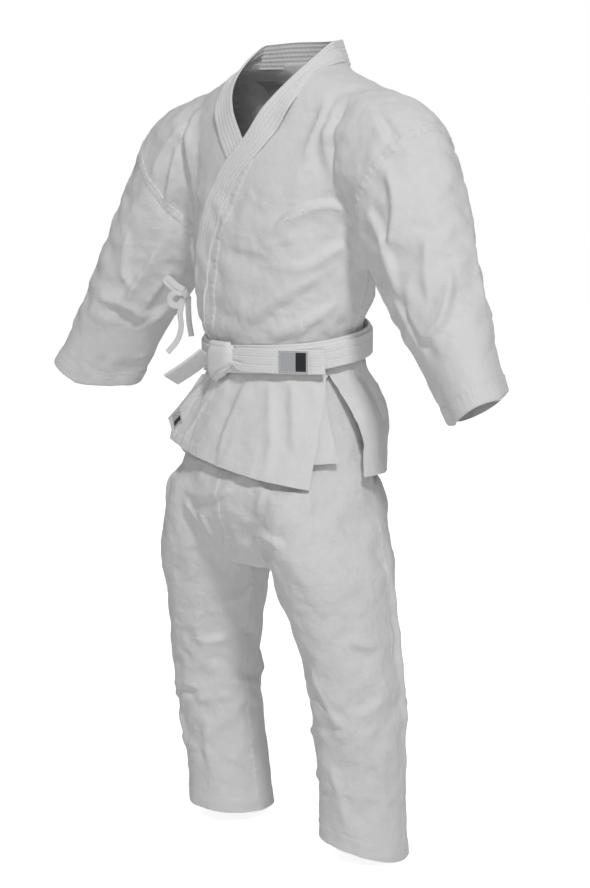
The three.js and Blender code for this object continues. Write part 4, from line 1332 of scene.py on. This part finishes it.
OUTER_FLAP = (
    [(-150, 661), (-65, 645), (29, 630), (153, 608)],
    [(-98, 802), (0, 808), (125, 800)],
    [(-150, 661), (-152, 682), (-128, 716), (-112, 735), (-104, 752), (-98, 802)],
    [(153, 608), (150, 670), (139, 740), (125, 800)],
)
UNDER_FLAP = (
    [(-159, 648), (-60, 642), (60, 640), (174, 648)],
    [(-140, 800), (0, 806), (124, 798)],
    [(-159, 648), (-157, 690), (-150, 735), (-140, 800)],
    [(174, 648), (160, 690), (141, 738), (124, 798)],
)
points, normals = flap(UNDER_FLAP, on_front, 0.4)
keep_piece("cloth_under_flap", hemmed(points, normals, 18), "jacket", None, "under_front_flap")


def outer_height(across, height):
    return 5.4 + 1.2 * smooth((700 - height) / 80)


points, normals = flap(OUTER_FLAP, on_skirt, outer_height)
outer = hemmed(points, normals, 20)
up = np.linspace(0.0, 1.0, 30)
edge = spaced(sampled(points, up, 0.175 + 0.10 * up), SEAM_STEP)
side_way = unit(np.cross(unit(np.gradient(edge, axis=0)), [0, -1, 0.0]))
w = np.linspace(-0.5, 0.5, 7)
ribbon = edge[:, None] + side_way[:, None] * (w * 10)[None, :, None]
out = front_normals(ribbon)
far = np.arange(len(edge))[:, None] * SEAM_STEP
relief = 0.8 * (seam_profile(w) - 1)[None]
relief = relief + 0.4 * np.cos(far / 1.9) * (1 - np.abs(w) * 2)[None]
outer += strip(ribbon + out * 0.9, out, 1.3, relief,
               [((0.01, 0.99), (k, k)) for k in (0.25, 0.75)])
keep_piece("cloth_outer_flap", outer, "jacket", None, "outer_front_flap")

OUTER_END = ([(-172, 692), (-138, 666)], [(-106, 768), (-84, 768)],
             [(-172, 692), (-132, 728), (-106, 768)], [(-138, 666), (-110, 720), (-84, 768)])
UNDER_END = ([(86, 650), (124, 652)], [(68, 790), (104, 788)],
             [(86, 650), (76, 700), (68, 790)], [(124, 652), (112, 700), (104, 788)])
points, normals = flap(OUTER_END, on_skirt, 7.9, 50, 25)
keep_piece("band_outer_end", lapel_band(points, normals), "band", None, "left_lapel_end")
points, normals = flap(UNDER_END, on_front, 2.6, 70, 25)
keep_piece("band_under_end", lapel_band(points, normals, 1.6), "band", None, "right_lapel_end")
BLANK = ([(-160, 697), (-140, 677)], [(-142, 712), (-122, 692)],
         [(-160, 697), (-142, 712)], [(-140, 677), (-122, 692)])


def woven_label(points, normals, bars=(), thick=LABEL_THICK):
    """A blank woven patch sewn down round its edge, with plain bars of another colour."""
    columns = points.shape[1]
    lines = [((0.05, 0.05), (0.05, 0.95)), ((0.95, 0.95), (0.05, 0.95)),
             ((0.05, 0.95), (0.05, 0.05)), ((0.05, 0.95), (0.95, 0.95))]
    parts = strip(points, normals, thick, 0.0, lines, 3.0)
    for low, high in bars:
        a, b = int(low * (columns - 1)), int(high * (columns - 1)) + 1
        cut, out = points[2:-2, a:b], normals[2:-2, a:b]
        bar = solid_of(cut + out * (thick + BAR_RISE), out, outward_faces(cut, out), BAR_THICK)
        parts.append((*bar, 2))
    return parts


points, normals = flap(BLANK, on_skirt, 10.6, 20, 20)
keep_piece("label_lapel", woven_label(points, normals, [(0.55, 0.85)]), "label", None,
           "lapel_label")

# The back of the skirt, in two halves, with vents at the sides.
vent_line = np.interp(z, [621, 672, 723, 783, 810], [-26, -18, -25, -42, -52])


def back_spread(points):
    """How far the back of the skirt stands off the body."""
    side_way = smooth((np.abs(points[:, 0]) - 90) / 60)
    return 1.6 + 7 * side_way * (1 - 0.9 * smooth((690 - points[:, 2]) / 50))


def on_back_flap(points):
    return back_spread(points) + CLOTH


calm = smooth((flat_height(jacket.rest) - 700) / 70)
back_raised = on_back_flap(jacket.rest) * (1 - calm) + 1.9 * calm
flap_keep = np.minimum.reduce([z - 624, 822 - flat_height(jacket.rest), y - vent_line, torso])
for side, word in WORD.items():
    cloth = panel_parts(jacket, np.minimum(flap_keep, x * side), lambda p: back_raised)
    hem_turns = np.radians(np.linspace(96, 180, 70)) * side
    hem_path = np.stack([on_body(turn, 639.0) for turn in hem_turns])
    cloth += seam(jacket, hem_path, 22, 2, on_back_flap, 0.8, 0.15, 9)
    if side > 0:
        middle = upright(on_body, math.pi, 628, 700)
        cloth += seam(jacket, middle, 8, 2, on_back_flap, 0.8, 0.2)
    keep_piece(f"cloth_{word}_back_flap", cloth, "jacket", None, f"back_flap_{word}")
    join(f"cloth_{word}_back_flap", "jacket", "back_flap", *BACK_HINGE)

join("cloth_under_flap", "jacket", "under_flap", *FRONT_HINGE)
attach(pieces["band_under_end"], "under_flap")
join("cloth_outer_flap", "under_flap", "outer_flap", *FRONT_HINGE)
join("band_outer_end", "under_flap", "outer_flap", *FRONT_HINGE)
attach(pieces["label_lapel"], "outer_flap")

# ---- belt -----------------------------------------------------------------------------------

WAIST_Y, WAIST_A, WAIST_B = -2.0, 139 + BELT_CLEAR, 97 + BELT_CLEAR
OUTER_WRAP = BELT_THICK + 0.4
BELT_FACE = 2 * OUTER_WRAP
KNOT_X = -46.0


def on_belt(across, height, distance):
    """A point on the front of the belt, a distance out from its outer wrap."""
    a, b = WAIST_A + BELT_FACE + distance, WAIST_B + BELT_FACE + distance
    deep = WAIST_Y - b * oval(across, a)
    return np.stack(np.broadcast_arrays(across, deep, height), -1)


def wrap(centre, low):
    start = math.asin(KNOT_X / WAIST_A)
    turn, w = crossed_grid(start + np.linspace(0, 2 * math.pi, 401), np.linspace(-0.5, 0.5, 31))
    points = tilt(np.stack([WAIST_A * np.sin(turn), WAIST_Y - WAIST_B * np.cos(turn),
                            centre + BELT_WIDTH * w], -1))
    wave = 1.3 * np.sin(turn * 2 + 0.6) + 0.7 * np.sin(turn * 5)
    points[..., 2] += wave
    out = unit(np.stack([np.sin(turn) / WAIST_A, -np.cos(turn) / WAIST_B, 0 * turn], -1))
    return points + out * low, out


def crowned(t, power):
    return np.sqrt(np.clip(1 - np.abs(2 * t - 1) ** power, 0, 1))


def pillow(stops, depth, crease, rows=44, columns=40, back=0.6):
    """A folded lump of webbing on the belt. stops: height, left X, right X."""
    stops = np.array(stops, float)
    v = np.linspace(0, 1, rows)[:, None]
    u = np.linspace(0, 1, columns)[None]
    height = np.interp(v, np.linspace(0, 1, len(stops)), stops[:, 0])
    left, right = (np.interp(height, stops[:, 0], stops[:, k]) for k in (1, 2))
    across = left + (right - left) * u
    raised = depth * np.minimum(crowned(u, 5), 1) * crowned(v, 4) + crease(across, height)
    raised = np.maximum(raised, 0.1)
    height = height + 0 * u
    front, behind = on_belt(across, height, raised), on_belt(across, height, -back)
    normals = unit(front - behind)
    thick = np.linalg.norm(front - behind, axis=2)
    return (*solid_of(front, normals, outward_faces(front, normals), thick.reshape(-1, 1)), 0)


def groove(across, height, one, two, width, depth):
    """A crease along the line between two (X, height) points."""
    (x1, z1), (x2, z2) = one, two
    size = math.hypot(x2 - x1, z2 - z1)
    gap = ((across - x1) * (z2 - z1) - (height - z1) * (x2 - x1)) / size
    along = ((across - x1) * (x2 - x1) + (height - z1) * (z2 - z1)) / size ** 2
    fade = smooth((along + 0.15) / 0.3) * smooth((1.15 - along) / 0.3)
    return -depth * np.exp(-(gap / width) ** 2) * fade


def main_crease(across, height):
    rows = 0.35 * np.abs(np.sin((across + 74) * np.pi / 4.6)) * smooth((height - 785) / 12)
    weave = 0.2 * np.cos(height * 2 * np.pi / 4.2)
    return (rows + weave - 0.3 + groove(across, height, (-10, 787), (-42, 774), 1.6, 3.0)
            + groove(across, height, (-62, 790), (-48, 772), 2.0, 2.5)
            - 3.5 * smooth((782 - height) / 14))


def side_crease(across, height):
    return (0.3 * np.cos((across - height) * 2 * np.pi / 4.4)
            + groove(across, height, (-70, 792), (-44, 770), 2.0, 2.0))


def roll_crease(across, height):
    return 0.3 * np.cos(across * 2 * np.pi / 4.6)


for name, node, above, out in (("belt_wrap_inner", "belt_inner_wrap", 3, 0.0),
                               ("belt_wrap_outer", "belt_outer_wrap", -3, OUTER_WRAP)):
    points, normals = wrap(BELT_HEIGHT + above, out)
    band = quilted(points, normals, BELT_THICK, *BELT_STITCHING)
    keep_piece(name, band, "belt", "jacket", node)

knot = [
    pillow([(766, -52, -36), (773, -57, -22), (784, -62, -8), (796, -64, 1), (810, -64, 3),
            (822, -60, -3)], 14.0, main_crease),
    pillow([(763, -50, -40), (772, -60, -34), (784, -69, -40), (796, -72, -46), (804, -70, -50)],
           9.0, side_crease),
    pillow([(813, -62, -10), (820, -64, -5), (827, -61, -9)], 8.5, roll_crease, 16, 40),
]
keep_piece("belt_knot_folds", knot, "belt", "jacket", "belt_knot")

TAIL_LOW, TAIL_HIGH, TAIL_START, TAIL_END = 782.0, 820.0, -30.0, 143.0


def tail_place(across, height, distance):
    lift = 3.2 * smooth((across - 96) / 50) + 2.2 * smooth((20 - across) / 40)
    return on_belt(across, height, 0.6 + lift + distance)


def tail_slab(low_x, high_x, low_z, high_z, distance, columns, rows):
    across, height = crossed_grid(np.linspace(low_x, high_x, columns),
                                  np.linspace(low_z, high_z, rows))
    points = tail_place(across, height, distance)
    return points, front_normals(points)


across, w = crossed_grid(np.linspace(TAIL_START, TAIL_END, 90), np.linspace(0, 1, 31))
near_knot = smooth((20 - across) / 28)
low_z = TAIL_LOW + 9 * near_knot
high_z = TAIL_HIGH - 4 * near_knot
height = low_z + (high_z - low_z) * w
pinch = groove(across, height, (-14, 800), (20, 797), 2.2, 2.8)
pinch = pinch + groove(across, height, (-14, 793), (10, 790), 1.6, 1.8)
hem_fold = 1.1 * smooth((across - 127) / 1.5)
points = tail_place(across, height, pinch + hem_fold)
tail = quilted(points, front_normals(points), BELT_THICK, *BELT_STITCHING)
keep_piece("belt_end_left", tail, "belt", "tail_left", "belt_tail_left")
points, normals = tail_slab(86, 126, TAIL_LOW + 2, TAIL_HIGH - 2, BELT_THICK + 0.1, 36, 30)
label = woven_label(points.transpose(1, 0, 2), normals.transpose(1, 0, 2), [(0.62, 0.96)])
keep_piece("label_belt", label, "label", "tail_left", "belt_label")
points, normals = tail_slab(128.5, 140.5, TAIL_LOW + 6, TAIL_HIGH - 6, BELT_THICK + 0.1, 20, 26)
keep_piece("label_size", woven_label(points, normals), "pale label", "tail_left", "size_label")

right_along = unit(np.array([-0.68, -0.33, -0.5]))
right_across = unit(np.cross(unit(np.array([0.45, -0.35, -0.82])), right_along))
right_face = unit(np.cross(right_along, right_across))
s, w = crossed_grid(np.linspace(-6, 70, 46), np.linspace(-0.5, 0.5, 31))
points = (np.array([-66, -120, 802]) + right_along * s[..., None]
          + right_across * (w * BELT_WIDTH)[..., None])
points = points + right_face * (2.0 * np.sin(s / 26))[..., None]
normals = grid_normals(points, np.zeros_like(points) + right_face)
tail = quilted(points, normals, BELT_THICK, *BELT_STITCHING)
keep_piece("belt_end_right", tail, "belt", "tail_right", "belt_tail_right")

# ---- side tie -------------------------------------------------------------------------------

TIE_WIDTH = 10.2
TIE_THICK = 1.1
TIE_FACE = unit(np.array([0.35, -0.93, 0.12]))
TIE_KNOT = np.array([-171, -64, 893.0])
TIES = {
    "tie_upper_loop": ("tie_loop_upper", "object",
                       [(-174, -66, 900), (-186, -73, 908), (-199, -79, 919), (-203, -80, 916),
                        (-200, -79, 911), (-189, -73, 902), (-175, -66, 894)]),
    "tie_lower_loop": ("tie_loop_lower", "object",
                       [(-176, -67, 895), (-188, -73, 896), (-197, -76, 888), (-196, -75, 878),
                        (-187, -71, 874), (-176, -66, 884)]),
    "tie_long_end": ("tie_tail_long", "bare",
                     [(-174, -68, 886), (-177, -72, 862), (-176, -71, 840), (-182, -74, 818),
                      (-197, -83, 797)]),
    "tie_short_end": ("tie_tail_short", "bare",
                      [(-168, -62, 890), (-167.5, -62.5, 868), (-166.5, -61.5, 846),
                       (-164, -59, 824)]),
}
for name, (node, far_end, stops) in TIES.items():
    line = spaced(curve_through(stops, 24 * (len(stops) - 1) + 1), 1.5)
    along = unit(np.gradient(line, axis=0))
    across = unit(np.cross(along, TIE_FACE))
    face = np.cross(across, along)
    w = np.linspace(-0.5, 0.5, 11)
    points = line[:, None] + across[:, None] * (w * TIE_WIDTH)[None, :, None]
    normals = np.repeat(face[:, None], 11, axis=1)
    ribs = 0.12 * np.cos(np.arange(len(line)) * 2.1)[:, None] - 0.25 * (np.abs(w) > 0.44)[None]
    body = strip(points - normals * TIE_THICK / 2, normals, TIE_THICK, ribs,
                 [((0.02, 0.98), (k, k)) for k in (0.14, 0.86)], 2.6)
    made = keep_piece(name, body, "tape", "jacket", node)
    size = float(np.linalg.norm(np.diff(line, axis=0), axis=1).sum())

turn, rise = crossed_grid(np.linspace(0, 2 * math.pi, 33), np.linspace(0, math.pi, 21))
lump = np.stack([7.6 * np.cos(turn) * np.sin(rise), 6.2 * np.sin(turn) * np.sin(rise),
                 8.6 * np.cos(rise)], -1)
lump *= (1 + 0.09 * np.cos(3 * turn + 4 * np.cos(rise)) + 0.05 * np.cos(9 * rise + turn))[..., None]
lump = (TIE_KNOT + lump).reshape(-1, 3)
lump_faces = grid_faces(33, 21)
lump_solid = modified(lump, lump_faces.tolist(), "REMESH", mode="VOXEL", voxel_size=0.0009)
keep_piece("tie_knot_lump", [(lump_solid[0], [lump_solid[1]], 0)], "tape", "jacket", "tie_knot")

# ---- neck label -----------------------------------------------------------------------------

across, height = crossed_grid(np.linspace(-118, -40, 44), np.linspace(1188, 1240, 32))
row = at_station(BODY, station_of(BODY, height))
deep = row[..., 1] + row[..., 3] * oval(across, row[..., 2], 0.1)
points, normals = stuck(jacket, np.stack([across, deep, height], -1), -0.4)
keep_piece("label_neck", woven_label(points, -normals, [(0.1, 0.36)], 0.9), "label", "jacket",
           "neck_label")

# ---- trousers -------------------------------------------------------------------------------

x, y, z = trousers.rest.T
SEAT_EDGE = (405.0, 0.95)
above = (z - SEAT_EDGE[0] - SEAT_EDGE[1] * np.abs(x)) / math.hypot(1, SEAT_EDGE[1])
GUSSET_WIDE, GUSSET_TALL, GUSSET_MIDDLE = 46.0, 59.0, 469.0
gusset = GUSSET_WIDE * (1 - np.abs(x) / GUSSET_WIDE - np.abs(z - GUSSET_MIDDLE) / GUSSET_TALL)
seat = panel_parts(trousers, np.minimum.reduce([above, -gusset, 836 - z]))
for turn in (0.0, math.pi):
    seat += seam(trousers, upright(on_seat, turn, 500, 790), 9, 2, pucker=0.3)
for side in (1, -1):
    t = np.linspace(0, 1, 16)
    line = [side * GUSSET_WIDE * t, -130 + 0 * t, GUSSET_MIDDLE + GUSSET_TALL * (1 - t)]
    seat += seam(trousers, np.stack(line, 1), 6, 1, height=0.7, pucker=0.2)
keep_piece("cloth_seat", seat, "trousers", "jacket", "seat_front", "seat_back")
keep_piece("cloth_gusset", panel_parts(trousers, np.minimum(gusset, above)), "trousers",
           "jacket", "crotch_gusset")
for side, word in WORD.items():
    hem_line = leg_hem(side, trousers.rest)
    cloth = panel_parts(trousers, np.minimum.reduce([-above, x * side, z - hem_line]))
    inner = upright(on_leg(side), -side * math.pi / 2, 40, 466)
    outer = upright(on_leg(side), side * 1.95, 28, 560)
    cloth += seam(trousers, inner, 10, 2, pucker=0.5)
    cloth += seam(trousers, outer, 8, 1, height=0.7, pucker=0.25)
    keep_piece(f"cloth_{word}_leg", cloth, "trousers", None,
               f"{word}_leg_front", f"{word}_leg_back")
    join(f"cloth_{word}_leg", "jacket", f"{word}_leg", *(LEG_JOINT * [side, 1, 1]))
    turns, level = crossed_grid(HEM_TURNS, np.linspace(0.5, 27, 15))
    level = level + leg_hem(side, leg_points(side, turns, 0 * level))
    rim = leg_points(side, turns, station_of(LEG, level))
    hem = ring_hem(trousers, rim, 0.9, (67, 5), 0.22 * HEM_ACROSS, 0.6, (0.7, 0.84))
    keep_piece(f"hem_{word}_leg", hem, "trousers", f"{word}_leg", f"{word}_hem_band")

turn, level = crossed_grid(np.linspace(0, 2 * math.pi, 201), np.linspace(797, 834, 20))
points = ring_points(SEAT, turn, station_of(SEAT, level))
normals = grid_normals(points, points * [1, 1, 0])
band = quilted(points + normals * 0.6, normals, CLOTH, 4, 9.0, 0.5)
keep_piece("band_waist", band, "trousers", "jacket", "trouser_waistband")

# ---- camera, light and floor ----------------------------------------------------------------

scene = bpy.context.scene


def aimed(obj, place, target):
    obj.location = place
    obj.rotation_mode = "QUATERNION"
    obj.rotation_quaternion = (Vector(target) - Vector(place)).to_track_quat("-Z", "Y")
    scene.collection.objects.link(obj)


camera_data = bpy.data.cameras.new("camera")
camera_data.lens = CAMERA_LENS
camera_data.sensor_width = 36
camera_data.clip_end = 60
camera = bpy.data.objects.new("camera", camera_data)
aimed(camera, CAMERA_PLACE, CAMERA_TARGET)
scene.camera = camera

LAMPS = [  # name, azimuth, elevation, distance, size, power
    ("key", 58, 46, 7.0, 0.8, 232),
    ("side", -20, 40, 5.0, 2.0, 16),
    ("front", 40, 14, 5.0, 1.0, 18),
    ("back", 200, 34, 4.6, 2.0, 30),
]
for name, azimuth, elevation, distance, size, power in LAMPS:
    light = bpy.data.lights.new(name, "AREA")
    light.size = size
    light.energy = power
    lamp = bpy.data.objects.new(name, light)
    a, e = math.radians(azimuth), math.radians(elevation)
    way = Vector((math.sin(a) * math.cos(e), -math.cos(a) * math.cos(e), math.sin(e)))
    aimed(lamp, Vector((0, 0, -0.5)) + way * distance, (0, 0, -0.55))

world = bpy.data.worlds.new("studio")
world.use_nodes = True
scene.world = world
nodes, links = world.node_tree.nodes, world.node_tree.links
soft, bright = nodes["Background"], nodes.new("ShaderNodeBackground")
for sky, strength in ((soft, 0.2), (bright, 1.0)):
    sky.inputs["Color"].default_value = (1, 1, 1, 1)
    sky.inputs["Strength"].default_value = strength
seen = nodes.new("ShaderNodeLightPath").outputs["Is Camera Ray"]
mixer = nodes.new("ShaderNodeMixShader")
links.new(seen, mixer.inputs["Fac"])
links.new(soft.outputs["Background"], mixer.inputs[1])
links.new(bright.outputs["Background"], mixer.inputs[2])
links.new(mixer.outputs["Shader"], nodes["World Output"].inputs["Surface"])
scene.view_settings.view_transform = "Standard"

floor_mesh = bpy.data.meshes.new("floor")
corners = [(FLOOR_REACH * a, FLOOR_REACH * b, FLOOR_LEVEL)
           for a, b in ((-1, -1), (1, -1), (1, 1), (-1, 1))]
floor_mesh.from_pydata(corners, [], [(0, 1, 2, 3)])
floor = bpy.data.objects.new("floor", floor_mesh)
paint = bpy.data.materials.new("floor")
paint.use_nodes = True
nodes, links = paint.node_tree.nodes, paint.node_tree.links
shader = nodes["Principled BSDF"]
shader.inputs["Base Color"].default_value = (0.95, 0.95, 0.95, 1)
shader.inputs["Roughness"].default_value = 0.9
shader.inputs["Emission Color"].default_value = (1, 1, 1, 1)
glow = nodes.new("ShaderNodeMath")
glow.operation = "MULTIPLY"
glow.inputs[1].default_value = 0.85
links.new(nodes.new("ShaderNodeLightPath").outputs["Is Camera Ray"], glow.inputs[0])
links.new(glow.outputs["Value"], shader.inputs["Emission Strength"])
floor_mesh.materials.append(paint)
scene.collection.objects.link(floor)
